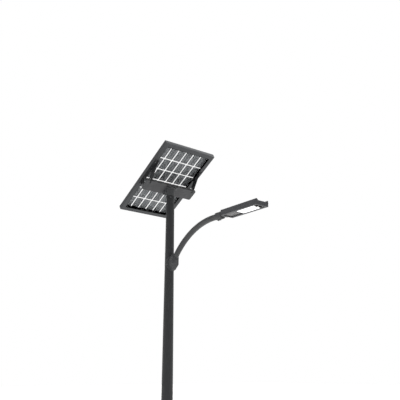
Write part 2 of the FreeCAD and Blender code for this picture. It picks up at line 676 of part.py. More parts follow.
def around_pivot(s, n, degrees):
    """A point of the module's frame turned about the tilt pivot."""
    turn = math.radians(degrees)
    ds, dn = s - PIVOT_S, n - PIVOT_N
    return (PIVOT_S + ds * math.cos(turn) - dn * math.sin(turn),
            PIVOT_N + ds * math.sin(turn) + dn * math.cos(turn))


def lock_slot(y0, y1):
    """Curved slot, centred on the pivot, that the lock bolt slides in as the module tilts."""
    radius = math.hypot(LOCK_S - PIVOT_S, LOCK_N - PIVOT_N)
    half = LOCK_BOLT_DIAMETER / 2 + CONTACT_GAP
    start, end = -0.6, TILT_TRAVEL + 0.6
    arcs = []
    for size in (radius + half, radius - half):
        scale = size / radius
        corners = []
        for degrees in (start, (start + end) / 2, end):
            s, n = around_pivot(PIVOT_S + (LOCK_S - PIVOT_S) * scale, PIVOT_N + (LOCK_N - PIVOT_N) * scale, degrees)
            corners.append(Vector(s, y0, n))
        arcs.append(corners)
    outer, inner = arcs
    edges = [Part.Arc(*outer).toShape(), Part.LineSegment(outer[2], inner[2]).toShape(),
             Part.Arc(*inner).toShape(), Part.LineSegment(inner[0], outer[0]).toShape()]
    band = Part.Face(Part.Wire(Part.__sortEdges__(edges))).extrude(Vector(0, y1 - y0, 0))
    ends = []
    for degrees in (start, end):
        s, n = around_pivot(LOCK_S, LOCK_N, degrees)
        ends.append(rod((s, y0, n), Y_AXIS, half, y1 - y0))
    return band.fuse(ends).removeSplitter()


def make_tilt_arms():
    """Plate arm under each side flange, with the curved lock slot at its lower end."""
    y0, y1 = -TILT_ARM_Y - TILT_ARM_THICKNESS, -TILT_ARM_Y
    outline = [(TILT_ARM_ROOT, 0), (TILT_ARM_ROOT, -5), (74.0, -89.0),
               (LOCK_S - LOCK_MARGIN, LOCK_N - LOCK_MARGIN), (43.0, -48.0),
               (71.0, -36.0), (104.0, -14.0), (104.0, 0)]
    radii = [0, 2, 10, 8.5, 6, 20, 6, 0]
    plate = rounded_prism(outline, radii, y0, y1)
    tab = box(104.0, TILT_ARM_ROOT, -LEAF_Y - LEAF_TAB, y1, -TAB_THICKNESS, 0)
    arm = plate.fuse(tab).cut(lock_slot(y0 - 1, y1 + 1))
    leaf_y = -LEAF_Y - LEAF_THICKNESS
    leaf = rod((PIVOT_S, leaf_y, PIVOT_N), Y_AXIS, LEAF_RADIUS, LEAF_THICKNESS)
    leaf = leaf.fuse(prism([(PIVOT_S - 32, 0), (PIVOT_S + 32, 0), (PIVOT_S + LEAF_RADIUS, PIVOT_N),
                            (PIVOT_S - LEAF_RADIUS, PIVOT_N)], leaf_y, -LEAF_Y))
    leaf = leaf.fuse(box(PIVOT_S - 32, PIVOT_S + 32, -LEAF_Y - LEAF_TAB, -LEAF_Y, -TAB_THICKNESS, 0))
    leaf = leaf.cut(rod((PIVOT_S, leaf_y - 1, PIVOT_N), Y_AXIS, PIVOT_BOLT_DIAMETER / 2 + RUNNING_GAP,
                        LEAF_THICKNESS + 2))
    screws = []
    for s, y in arm_screw_places() + leaf_screw_places():
        hole = rod((s, y, -TAB_THICKNESS - 1), Z_AXIS, MODULE_SCREW / 2, TAB_THICKNESS + 2)
        arm = arm.cut(hole)
        leaf = leaf.cut(hole)
        screw = bolt((s, y, -TAB_THICKNESS), Z_AXIS, MODULE_SCREW,
                     TAB_THICKNESS + RAIL_WALL + 8, TAB_THICKNESS + RAIL_WALL)
        screws += [screw, mirrored(screw)]
    add("tilt_arm_left", tilt_in_place(arm.removeSplitter()))
    add("tilt_arm_right", tilt_in_place(mirrored(arm.removeSplitter())))
    leaf = leaf.removeSplitter()
    add("hinge_leaves", tilt_in_place(group([leaf, mirrored(leaf)])))
    add("module_screws", tilt_in_place(group(screws)))


# ---------------------------------------------------------------- battery housing on the pole top
HOUSING_S0 = HOUSING_CENTRE - HOUSING_WIDTH / 2
HOUSING_S1 = HOUSING_CENTRE + HOUSING_WIDTH / 2
BODY_HALF = HOUSING_BODY_LENGTH / 2
RIM_TOP = HOUSING_UNDERSIDE + TRAY_DEPTH
LID_SEAT = RIM_TOP + GASKET_THICKNESS
LID_TOP = LID_SEAT + LID_FLANGE + LID_RISE
LID_SCREW = 5.0
LID_SCREW_MARGIN = 6.0
BOSS_RADIUS = 5.0
LID_STEP = 12.0
CABLE_WELL = 18.0


def lid_screw_places():
    """Places of the eight lid screws in the housing's frame."""
    rows = (HOUSING_S0 + LID_SCREW_MARGIN, HOUSING_S1 - LID_SCREW_MARGIN)
    steps = (-0.9, -0.3, 0.3, 0.9)
    return [(s, BODY_HALF * step) for s in rows for step in steps]


def lid_outline(inset):
    """Cross-section of the lid's raised part, moved in by the wall."""
    foot = LID_SEAT + LID_FLANGE if inset == 0 else LID_SEAT
    top = LID_TOP - inset
    return [(HOUSING_S0 + LID_STEP + inset, foot), (HOUSING_S1 - LID_STEP - inset, foot),
            (HOUSING_S1 - 22 - inset, top), (HOUSING_S0 + 16 + inset, top)]


def make_tray_and_lid():
    """Shallow tray, gasket and raised lid of the battery housing."""
    tray = box(HOUSING_S0, HOUSING_S1, -BODY_HALF, BODY_HALF, HOUSING_UNDERSIDE, RIM_TOP)
    long_edges = [e for e in tray.Edges if e.BoundBox.YLength > BODY_HALF
                  and abs(e.BoundBox.ZMax - HOUSING_UNDERSIDE) < 1e-3]
    tray = tray.makeFillet(2.0, long_edges)
    floor = HOUSING_UNDERSIDE + TRAY_WALL
    tray = tray.cut(box(HOUSING_S0 + TRAY_WALL, HOUSING_S1 - TRAY_WALL, -BODY_HALF + TRAY_WALL,
                        BODY_HALF - TRAY_WALL, floor, RIM_TOP))
    bosses = [rod((s, y, floor), Z_AXIS, BOSS_RADIUS, RIM_TOP - floor) for s, y in lid_screw_places()]
    tray = tray.fuse(bosses)
    for s, y in lid_screw_places():
        tray = tray.cut(rod((s, y, floor + 4), Z_AXIS, LID_SCREW / 2, TRAY_DEPTH))
    tray = tray.cut(untilt(rod((0, 0, POLE_HEIGHT), Z_AXIS, CABLE_WELL, MODULE_HEIGHT - POLE_HEIGHT)))
    for s, y in saddle_bolt_places():
        tray = tray.cut(rod((s, y, HOUSING_UNDERSIDE), Z_AXIS, SADDLE_BOLT / 2, TRAY_WALL))
    tray = tray.common(box(HOUSING_S0, HOUSING_S1, -BODY_HALF, BODY_HALF, HOUSING_UNDERSIDE, RIM_TOP))
    add("battery_tray", tilt_in_place(tray.removeSplitter()))

    gasket = box(HOUSING_S0 + 1, HOUSING_S1 - 1, -BODY_HALF + 1, BODY_HALF - 1, RIM_TOP, LID_SEAT)
    gasket = gasket.cut(box(HOUSING_S0 + LID_STEP, HOUSING_S1 - LID_STEP, -BODY_HALF + LID_STEP,
                            BODY_HALF - LID_STEP, RIM_TOP, LID_SEAT))
    lid = box(HOUSING_S0, HOUSING_S1, -BODY_HALF, BODY_HALF, LID_SEAT, LID_SEAT + LID_FLANGE)
    raised = prism(lid_outline(0), -BODY_HALF + LID_STEP, BODY_HALF - LID_STEP)
    hollow = prism(lid_outline(TRAY_WALL), -BODY_HALF + LID_STEP + TRAY_WALL, BODY_HALF - LID_STEP - TRAY_WALL)
    lid = lid.fuse(raised).cut(hollow)
    screws = []
    for s, y in lid_screw_places():
        hole = rod((s, y, RIM_TOP), Z_AXIS, LID_SCREW / 2, TRAY_DEPTH)
        gasket = gasket.cut(hole)
        lid = lid.cut(hole)
        screws.append(pan_screw((s, y, LID_SEAT + LID_FLANGE), Z_AXIS.negative(), LID_SCREW, 14.0))
    for s, y in gland_places():
        lid = lid.cut(rod((s, y, LID_TOP - 5), Z_AXIS, GLAND_DIAMETER / 2 - 2, 10))
    add("housing_gasket", tilt_in_place(gasket))
    add("battery_lid", tilt_in_place(lid.removeSplitter()))
    add("lid_screws", tilt_in_place(group(screws)))


GLAND_DIAMETER = 16.0


def gland_places():
    """Places of the two cable glands on top of the lid."""
    return [(HOUSING_CENTRE - 12, 110.0), (HOUSING_CENTRE - 12, 150.0)]


def make_glands():
    """Two cable glands for the module's and the lamp's leads."""
    glands = []
    for s, y in gland_places():
        body = rod((s, y, LID_TOP - 5), Z_AXIS, GLAND_DIAMETER / 2 - 2, 10)
        body = body.fuse(hexagon((s, y, LID_TOP), Z_AXIS, GLAND_DIAMETER + 3, 4))
        body = body.fuse(Part.makeCone(GLAND_DIAMETER / 2, GLAND_DIAMETER / 2 - 3, 9, Vector(s, y, LID_TOP + 4), Z_AXIS))
        glands.append(body.cut(rod((s, y, LID_TOP - 5), Z_AXIS, 3.0, 20)).removeSplitter())
    add("cable_glands", tilt_in_place(group(glands)))


NOTCH_Y0 = TILT_ARM_Y - 2.5
NOTCH_Y1 = TILT_ARM_Y + TILT_ARM_THICKNESS + 2.5
NOTCH_DEPTH = 30.0
EAR_Y0 = LEAF_Y - CONTACT_GAP - 7.0
EAR_Y1 = LEAF_Y - CONTACT_GAP
LOCK_HEAD_DEPTH = 8.0
END_CAP_SCREW = 5.0


def end_cap_screw_places():
    """Places, across the slope, of the screws that hold an end cap to the tray."""
    return [(HOUSING_S0 + 16, HOUSING_UNDERSIDE + 11), (HOUSING_CENTRE, HOUSING_UNDERSIDE + 11)]


def make_end_caps():
    """Cast end caps with the hinge ear and the notch that the tilt arm passes through."""
    half_y = MODULE_WIDTH / 2
    cap = box(HOUSING_S0, HOUSING_S1, -half_y, -BODY_HALF, HOUSING_UNDERSIDE, RIM_TOP)
    corners = [e for e in cap.Edges if e.BoundBox.ZLength > TRAY_DEPTH - 1
               and abs(e.BoundBox.YMin + half_y) < 1e-3 and e.BoundBox.YLength < 1]
    cap = cap.makeFillet(END_CAP_CORNER, corners)
    rim = [e for e in cap.Edges if abs(e.BoundBox.ZMax - HOUSING_UNDERSIDE) < 1e-3
           and e.BoundBox.YMax < -BODY_HALF - 1]
    cap = cap.makeFillet(2.0, rim)
    ear = prism([(PIVOT_S - LEAF_RADIUS, RIM_TOP - 5), (PIVOT_S + LEAF_RADIUS, RIM_TOP - 5),
                 (PIVOT_S + LEAF_RADIUS, PIVOT_N), (PIVOT_S - LEAF_RADIUS, PIVOT_N)], -EAR_Y1, -EAR_Y0)
    ear = ear.fuse(rod((PIVOT_S, -EAR_Y1, PIVOT_N), Y_AXIS, LEAF_RADIUS, EAR_Y1 - EAR_Y0))
    cap = cap.fuse(ear)
    cap = cap.cut(box(HOUSING_S1 - NOTCH_DEPTH, HOUSING_S1 + 1, -NOTCH_Y1, -NOTCH_Y0, HOUSING_UNDERSIDE - 1, RIM_TOP + 1))
    cap = cap.cut(rod((PIVOT_S, -EAR_Y1 - 1, PIVOT_N), Y_AXIS, PIVOT_BOLT_DIAMETER / 2, EAR_Y1 - EAR_Y0 + 2))
    cap = cap.cut(rod((LOCK_S, -half_y - 1, LOCK_N), Y_AXIS, LOCK_BOLT_DIAMETER / 2, half_y - BODY_HALF))
    cap = cap.cut(rod((LOCK_S, -half_y - 1, LOCK_N), Y_AXIS, 8.2, LOCK_HEAD_DEPTH + 1))
    cap_screws = []
    for s, n in end_cap_screw_places():
        cap = cap.cut(rod((s, -half_y - 1, n), Y_AXIS, END_CAP_SCREW / 2, half_y - BODY_HALF + 1))
        cap = cap.cut(rod((s, -half_y - 1, n), Y_AXIS, 5.0, 1 + END_CAP_SCREW * 0.55))
        screw = pan_screw((s, -half_y + END_CAP_SCREW * 0.55, n), Y_AXIS, END_CAP_SCREW,
                          half_y - BODY_HALF - END_CAP_SCREW * 0.55)
        cap_screws += [screw, mirrored(screw)]
    cap = cap.removeSplitter()
    add("end_cap_left", tilt_in_place(cap))
    add("end_cap_right", tilt_in_place(mirrored(cap)))
    add("end_cap_screws", tilt_in_place(group(cap_screws)))

    lock = bolt((LOCK_S, -half_y + LOCK_HEAD_DEPTH, LOCK_N), Y_AXIS, LOCK_BOLT_DIAMETER,
                half_y - BODY_HALF - LOCK_HEAD_DEPTH - 1)
    add("tilt_lock_bolts", tilt_in_place(group([lock, mirrored(lock)])))
    pivot_seat = LEAF_Y + LEAF_THICKNESS + CONTACT_GAP
    pivot = bolt((PIVOT_S, -pivot_seat, PIVOT_N), Y_AXIS, PIVOT_BOLT_DIAMETER,
                 pivot_seat - EAR_Y0 + HEX_SIZES[PIVOT_BOLT_DIAMETER][1] + 1, pivot_seat - EAR_Y0)
    add("tilt_pivot_bolts", tilt_in_place(group([pivot, mirrored(pivot)])))


BATTERY_LEFT_COUNT = 5
BATTERY_RIGHT_COUNT = 3
HOLDER_THICKNESS = 3.0
CONTROLLER_LENGTH = 78.0
CONTROLLER_WIDTH = 84.0
CONTROLLER_HEIGHT = 26.0


def make_battery():
    """Lithium cells in two banks, their holders, and the charge controller beside them."""
    floor = HOUSING_UNDERSIDE + TRAY_WALL
    radius = BATTERY_CELL_DIAMETER / 2
    centre_n = floor + 0.5 + radius
    centre_s = HOUSING_CENTRE + 0.5
    start = -BODY_HALF + LID_STEP + TRAY_WALL + 1 + radius
    left = [start + BATTERY_CELL_PITCH * k for k in range(BATTERY_LEFT_COUNT)]
    right_start = CABLE_WELL + 4 + radius
    right = [right_start + BATTERY_CELL_PITCH * k for k in range(BATTERY_RIGHT_COUNT)]
    cells = []
    for y in left + right:
        cells.append(rod((centre_s - BATTERY_CELL_LENGTH / 2, y, centre_n), X_AXIS, radius, BATTERY_CELL_LENGTH))
    add("battery_cells", tilt_in_place(group(cells)))
    holders = []
    for bank in (left, right):
        for side in (-1, 1):
            s = centre_s + side * BATTERY_CELL_LENGTH / 3
            y0, y1 = bank[0] - radius - 1, bank[-1] + radius + 1
            holder = box(s - HOLDER_THICKNESS / 2, s + HOLDER_THICKNESS / 2, y0, y1, floor, centre_n)
            for y in bank:
                holder = holder.cut(rod((s - HOLDER_THICKNESS, y, centre_n), X_AXIS, radius + RUNNING_GAP,
                                        2 * HOLDER_THICKNESS))
            holders += holder.Solids
    add("cell_holders", tilt_in_place(group(holders)))
    y1 = BODY_HALF - LID_STEP - TRAY_WALL - 3
    y0 = y1 - CONTROLLER_LENGTH
    half_s = CONTROLLER_WIDTH / 2
    case = box(HOUSING_CENTRE - half_s, HOUSING_CENTRE + half_s, y0, y1, floor, floor + CONTROLLER_HEIGHT - 6)
    for k in range(7):
        s = HOUSING_CENTRE - half_s + 6 + k * 12
        case = case.fuse(box(s - 1, s + 1, y0 + 4, y1 - 24, floor + CONTROLLER_HEIGHT - 6, floor + CONTROLLER_HEIGHT))
    add("charge_controller", tilt_in_place(case.removeSplitter()))


# ---------------------------------------------------------------- swivel saddle
SADDLE_BOLT = 8.0
SADDLE_BOLT_MARGIN = 12.0


def saddle_bolt_places():
    """Places of the four bolts that hold the housing on the swivel saddle."""
    s_steps = (HOUSING_S0 + SADDLE_BOLT_MARGIN + 2, HOUSING_S1 - SADDLE_BOLT_MARGIN - 2)
    y_step = SADDLE_PLATE_WIDTH / 2 - SADDLE_BOLT_MARGIN
    return [(s, side * y_step) for s in s_steps for side in (-1, 1)]


def make_swivel_saddle():
    """Sloping plate under the housing on a collar and spigot that turn in the pole top."""
    half = SADDLE_PLATE_WIDTH / 2
    plate = box(HOUSING_S0 + 5, HOUSING_S1 - 3, -half, half, HOUSING_UNDERSIDE - SADDLE_PLATE, HOUSING_UNDERSIDE)
    upright = [e for e in plate.Edges if abs(e.BoundBox.ZLength - SADDLE_PLATE) < 1e-6]
    plate = plate.makeFillet(8.0, upright)
    shoulder = POLE_HEIGHT + CONTACT_GAP
    collar = rod((0, 0, shoulder), Z_AXIS, POLE_TOP_DIAMETER / 2, MODULE_HEIGHT - shoulder)
    below_plate = box(-200, 200, -200, 200, HOUSING_UNDERSIDE - 400, HOUSING_UNDERSIDE - SADDLE_PLATE / 2)
    collar = collar.common(tilt_in_place(below_plate))
    spigot = rod((0, 0, POLE_HEIGHT - SPIGOT_LENGTH), Z_AXIS, SPIGOT_DIAMETER / 2, SPIGOT_LENGTH + 1)
    saddle = tilt_in_place(plate).fuse([collar, spigot])
    saddle = saddle.cut(rod((0, 0, POLE_HEIGHT - SPIGOT_LENGTH), Z_AXIS, SPIGOT_BORE / 2, SPIGOT_LENGTH + 1))
    saddle = saddle.cut(rod((0, 0, POLE_HEIGHT), Z_AXIS, CABLE_WELL, MODULE_HEIGHT - POLE_HEIGHT))
    bolts = []
    flats, height = HEX_SIZES[SADDLE_BOLT]
    for s, y in saddle_bolt_places():
        shank = tilt_in_place(rod((s, y, HOUSING_UNDERSIDE - SADDLE_PLATE), Z_AXIS, SADDLE_BOLT / 2, SADDLE_PLATE))
        saddle = saddle.cut(shank)
        piece = bolt((s, y, HOUSING_UNDERSIDE - SADDLE_PLATE), Z_AXIS, SADDLE_BOLT,
                     SADDLE_PLATE + TRAY_WALL + height, SADDLE_PLATE + TRAY_WALL)
        bolts.append(piece)
    add("swivel_saddle", saddle.removeSplitter())
    add("saddle_bolts", tilt_in_place(group(bolts)))


# ---------------------------------------------------------------- lamp head
HEAD_END = HEAD_START + HEAD_LENGTH
HEAD_TOP = HEAD_AXIS_HEIGHT + HEAD_DEPTH / 2
HEAD_BOTTOM = HEAD_AXIS_HEIGHT - HEAD_DEPTH / 2
HEAD_HALF = HEAD_WIDTH / 2
DECK_TOP = HEAD_TOP - HEAD_DISH
DECK_BOTTOM = DECK_TOP - HEAD_WALL
RIM_INNER = HEAD_HALF - HEAD_RIM
RIM_TOP_Z = HEAD_BOTTOM + HEAD_RIM_DEPTH
REAR_BAR = 8.0
FRONT_BAR = 10.0
CROSS_BAR = 8.0
COVER_SCREW = 4.0
COVER_START = HEAD_START + REAR_BAR + 2.0
COVER_END = COVER_START + COVER_LENGTH
HINGE_PIN = 3.0


def head_section(inset, x0, x1):
    """Outside of the head: a box with rounded upper side edges and a dished top."""
    half = HEAD_HALF - inset
    low, high = HEAD_BOTTOM + inset, HEAD_TOP - inset
    body = box(x0, x1, -half, half, low, high)
    side_edges = [e for e in body.Edges if e.BoundBox.XLength > (x1 - x0) / 2
                  and abs(e.BoundBox.ZMin - high) < 1e-3]
    body = body.makeFillet(max(4.0 - inset, 1.0), side_edges)
    return body


def head_dish(x0, x1):
    """Shallow trough cut along the head's top."""
    half = HEAD_HALF - 7.0
    points = [(-half, HEAD_TOP + 1), (half, HEAD_TOP + 1), (half - 16, DECK_TOP), (-half + 16, DECK_TOP)]
    corners = [Vector(x0, y, z) for y, z in points]
    return Part.Face(Part.makePolygon(corners + corners[:1])).extrude(Vector(x1 - x0, 0, 0))


def make_head_housing():
    """Cast head housing: side walls, dished deck with fins, and the rim round the underside."""
    end = HEAD_START + HEAD_LENGTH
    shell = head_section(0, HEAD_START, end)
    shell = shell.cut(head_dish(HEAD_START, end))
    inner_half = HEAD_HALF - HEAD_WALL
    cavity = box(HEAD_START + HEAD_WALL, end, -inner_half, inner_half, RIM_TOP_Z, DECK_BOTTOM)
    mouth = box(HEAD_START + REAR_BAR, end - FRONT_BAR, -RIM_INNER, RIM_INNER, HEAD_BOTTOM - 1, RIM_TOP_Z)
    bar_start = COVER_END + LOOSE_GAP
    bar = box(bar_start, bar_start + CROSS_BAR, -RIM_INNER, RIM_INNER, HEAD_BOTTOM + 1, RIM_TOP_Z)
    shell = shell.cut([cavity, mouth]).fuse(bar)
    fins = []
    span = HEAD_HALF - 26.0
    for k in range(HEAD_FIN_COUNT):
        y = -span + 2 * span * k / (HEAD_FIN_COUNT - 1)
        fins.append(box(HEAD_START + 30, end - 24, y - 1.25, y + 1.25, DECK_TOP - 1, DECK_TOP + HEAD_FIN_HEIGHT))
    boss_x = COVER_END - 8.0
    boss = rod((boss_x, 0, COVER_TOP + LOOSE_GAP), Z_AXIS, 6.0, DECK_BOTTOM - COVER_TOP - LOOSE_GAP + 1)
    shell = shell.fuse(fins + [boss])
    shell = shell.cut(rod((boss_x, 0, COVER_TOP), Z_AXIS, COVER_SCREW / 2 + CONTACT_GAP, 9.0))
    for y, z in knuckle_screw_places():
        shell = shell.cut(rod((HEAD_START, y, z), X_AXIS, KNUCKLE_SCREW / 2, HEAD_WALL))
    for side in (-1, 1):
        y0 = RIM_INNER if side > 0 else -RIM_INNER - 6
        shell = shell.cut(rod((COVER_HINGE_X, y0, COVER_HINGE_Z), Y_AXIS, HINGE_PIN / 2, 6))
    for y, z in end_screw_places():
        shell = shell.cut(rod((end - 12, y, z), X_AXIS, END_SCREW / 2, 12))
    add("head_housing", shell.removeSplitter())


COVER_TOP = RIM_TOP_Z
COVER_BOTTOM = COVER_TOP - COVER_THICKNESS
COVER_HINGE_X = COVER_START + 4.0
COVER_HINGE_Z = COVER_TOP - COVER_THICKNESS / 2


def make_gear_cover():
    """Hinged cover over the driver, its captive screw and the two hinge pins."""
    half = RIM_INNER - LOOSE_GAP
    cover = box(COVER_START, COVER_END, -half, half, COVER_BOTTOM, COVER_TOP)
    front = [e for e in cover.Edges if e.BoundBox.ZLength > COVER_THICKNESS - 0.1
             and e.BoundBox.XMin > COVER_END - 1]
    cover = cover.makeFillet(6.0, front)
    rear = [e for e in cover.Edges if e.BoundBox.YLength > half and e.BoundBox.XMax < COVER_START + 1]
    cover = cover.makeFillet(1.2, rear)
    for side in (-1, 1):
        y0 = half - 8 if side > 0 else -half
        cover = cover.cut(rod((COVER_HINGE_X, y0, COVER_HINGE_Z), Y_AXIS, HINGE_PIN / 2 + RUNNING_GAP, 8))
    pins = []
    for side in (-1, 1):
        y0 = half - 8 if side > 0 else -RIM_INNER - 6
        pins.append(rod((COVER_HINGE_X, y0 + (0.5 if side > 0 else 0), COVER_HINGE_Z), Y_AXIS, HINGE_PIN / 2,
                        RIM_INNER + 6 - half + 7.5))
    screw_x = COVER_END - 8.0
    cover = cover.cut(rod((screw_x, 0, COVER_BOTTOM), Z_AXIS, COVER_SCREW / 2, COVER_THICKNESS))
    add("gear_cover", cover)
    add("cover_hinge_pins", group(pins))
    add("cover_screw", pan_screw((screw_x, 0, COVER_BOTTOM), Z_AXIS, COVER_SCREW, 8.0))


KNUCKLE_SCREW = 6.0
END_SCREW = 4.0
KNUCKLE_PLATE = 6.0


def knuckle_screw_places():
    """Places of the four screws that hold the fork to the head."""
    return [(y, HEAD_AXIS_HEIGHT - 2.0) for y in (-50.0, -37.0, 37.0, 50.0)]


def end_screw_places():
    """Places of the end cap's screws."""
    z = HEAD_BOTTOM + 14.0
    return [(-HEAD_HALF + 1.5 + 2, z + 12), (HEAD_HALF - 1.5 - 2, z + 12)]


def make_knuckle():
    """Fork that carries the head on the clamp's tongue, with its screws."""
    x1 = HEAD_START
    x0 = x1 - KNUCKLE_PLATE
    plate = box(x0, x1, -57, 57, HEAD_AXIS_HEIGHT - 18, HEAD_AXIS_HEIGHT + 6)
    ear_inner = HEAD_TONGUE / 2 + CONTACT_GAP
    ears = []
    for side in (-1, 1):
        y0 = ear_inner if side > 0 else -ear_inner - HEAD_EAR_THICKNESS
        y1 = y0 + HEAD_EAR_THICKNESS
        ear = rod((HEAD_PIVOT_X, y0, HEAD_AXIS_HEIGHT), Y_AXIS, HEAD_EAR_RADIUS, HEAD_EAR_THICKNESS)
        web = box(HEAD_PIVOT_X, x1, y0, y1, HEAD_AXIS_HEIGHT - HEAD_EAR_RADIUS, HEAD_AXIS_HEIGHT + HEAD_EAR_RADIUS)
        web = web.cut(box(x0, x1, y0, y1, HEAD_AXIS_HEIGHT + 6, HEAD_TOP))
        ears += [ear, web]
    fork = plate.fuse(ears)
    tongue_sweep = rod((HEAD_PIVOT_X, -ear_inner, HEAD_AXIS_HEIGHT), Y_AXIS, HEAD_EAR_RADIUS + 1.0, 2 * ear_inner)
    fork = fork.cut(tongue_sweep)
    bore = HEAD_PIVOT_BOLT / 2 + RUNNING_GAP
    fork = fork.cut(rod((HEAD_PIVOT_X, -60, HEAD_AXIS_HEIGHT), Y_AXIS, bore, 120))
    screws = []
    for y, z in knuckle_screw_places():
        fork = fork.cut(rod((x0, y, z), X_AXIS, KNUCKLE_SCREW / 2, KNUCKLE_PLATE))
        screws.append(bolt((x0, y, z), X_AXIS, KNUCKLE_SCREW, KNUCKLE_PLATE + HEAD_WALL + 5,
                           KNUCKLE_PLATE + HEAD_WALL))
    add("head_fork", fork.removeSplitter())
    add("fork_screws", group(screws))


def make_head_end_cap():
    """Plate that closes the head's far end, dished like the housing."""
    end = HEAD_START + HEAD_LENGTH
    cap = head_section(0, end, end + END_CAP_THICKNESS)
    cap = cap.cut(head_dish(end, end + END_CAP_THICKNESS))
    screws = []
    for y, z in end_screw_places():
        cap = cap.cut(rod((end, y, z), X_AXIS, END_SCREW / 2, END_CAP_THICKNESS))
        screws.append(pan_screw((end + END_CAP_THICKNESS, y, z), X_AXIS.negative(), END_SCREW, END_CAP_THICKNESS + 10))
    add("head_end_cap", cap.removeSplitter())
    add("end_screws", group(screws))


LENS_THICKNESS = 2.5
SENSOR_DOME = 14.0
SENSOR_PLACES = (-24.0, 14.0)
LENS_GASKET = 0.8
LENS_SETBACK = 3.0
LED_BOARD_THICKNESS = 1.6
LED_SIZE = 4.0
LED_HEIGHT = 1.2
LED_ROWS = 4
LED_COLUMNS = 8
LED_PITCH_X = 20.0
LED_PITCH_Y = 20.0


def make_light():
    """LED board on the deck, its LEDs, the opal lens below and the sensor window at the end."""
    half = HEAD_HALF - HEAD_WALL - LOOSE_GAP
    window = RIM_INNER - LOOSE_GAP
    z0 = RIM_TOP_Z
    z1 = z0 + LENS_GASKET
    x0 = LENS_START - 3
    frame = box(x0, LENS_END, -half, half, z0, z1)
    add("lens_gasket", frame.cut(box(x0 + 4, LENS_END, -window, window, z0, z1)))
    lens = box(x0, LENS_END, -half, half, z1, z1 + LENS_THICKNESS)
    lens = lens.fuse(box(x0 + 4, LENS_END, -window, window, HEAD_BOTTOM + LENS_SETBACK, z1))
    lens = lens.cut(box(x0 + 4 + LENS_THICKNESS, LENS_END - LENS_THICKNESS, -window + LENS_THICKNESS,
                        window - LENS_THICKNESS, HEAD_BOTTOM + LENS_SETBACK + LENS_THICKNESS,
                        z1 + LENS_THICKNESS))
    add("lens_plate", lens.removeSplitter())
    board_top = DECK_BOTTOM
    board_bottom = board_top - LED_BOARD_THICKNESS
    centre = (LENS_START + LENS_END) / 2
    add("led_board", box(LENS_START, LENS_END - 6, -half + 8, half - 8, board_bottom, board_top))
    chips = []
    for column in range(LED_COLUMNS):
        for row in range(LED_ROWS):
            x = centre + (column - (LED_COLUMNS - 1) / 2) * LED_PITCH_X
            y = (row - (LED_ROWS - 1) / 2) * LED_PITCH_Y
            chips.append(box(x - LED_SIZE / 2, x + LED_SIZE / 2, y - LED_SIZE / 2, y + LED_SIZE / 2,
                             board_bottom - LED_HEIGHT, board_bottom))
    add("led_chips", group(chips))
    x0 = LENS_END + CONTACT_GAP
    face = HEAD_BOTTOM + LENS_SETBACK
    sensor = box(x0, x0 + SENSOR_LENGTH + 4, -half, half, z0, z0 + LENS_THICKNESS + LENS_GASKET)
    sensor = sensor.fuse(box(x0, x0 + SENSOR_LENGTH, -window, window, face, z0))
    sensor = sensor.cut(box(x0 + LENS_THICKNESS, x0 + SENSOR_LENGTH - LENS_THICKNESS, -window + LENS_THICKNESS,
                            window - LENS_THICKNESS, face + LENS_THICKNESS, z0 + LENS_THICKNESS + LENS_GASKET))
    for y in SENSOR_PLACES:
        centre = Vector(x0 + SENSOR_LENGTH / 2, y, face + LENS_THICKNESS)
        dome = Part.makeSphere(SENSOR_DOME, centre)
        below = box(x0, x0 + SENSOR_LENGTH, y - 2 * SENSOR_DOME, y + 2 * SENSOR_DOME, face - SENSOR_DOME, centre.z)
        sensor = sensor.fuse(dome.common(below))
    add("sensor_window", sensor.removeSplitter())
    driver_half = RIM_INNER - 12
    x1 = COVER_END - 20
    add("led_driver", box(COVER_START + 12, x1, -driver_half, driver_half, DECK_BOTTOM - 13, DECK_BOTTOM))


# ---------------------------------------------------------------- build
def build():
    """Make every sub-part."""
    make_base()
    make_pole()
    make_earth_stud()
    make_pole_top()
    make_arm()
    make_arm_saddle()
    make_head_clamp()
    make_rails()
    make_corner_keys()
    make_laminate()
    make_junction_box()
    make_tilt_arms()
    make_tray_and_lid()
    make_glands()
    make_end_caps()
    make_battery()
    make_swivel_saddle()
    make_head_housing()
    make_gear_cover()
    make_knuckle()
    make_head_end_cap()
    make_light()


build()
os.makedirs("parts", exist_ok=True)
for node_name, node_shape in NODES.items():
    valid = node_shape.isValid() and all(solid.Volume > 0 for solid in node_shape.Solids)
    print("%-20s solids %3d volume %12.1f %s" % (node_name, len(node_shape.Solids), node_shape.Volume,
                                                 "" if valid else "INVALID"))
    node_shape.exportStep("parts/%s.step" % node_name)
print("nodes", len(NODES))
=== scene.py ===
"""Looks of a solar street lamp: finishes for its CAD pieces, and the fine pieces modelled on top of them.

Lengths are metres in the lamp's own frame: +X along the lamp arm, +Y across the solar module, +Z up.
"""
import logging
import math
from dataclasses import dataclass
from enum import Enum
from typing import Callable, Sequence

import bmesh
import bpy
from mathutils import Matrix, Vector


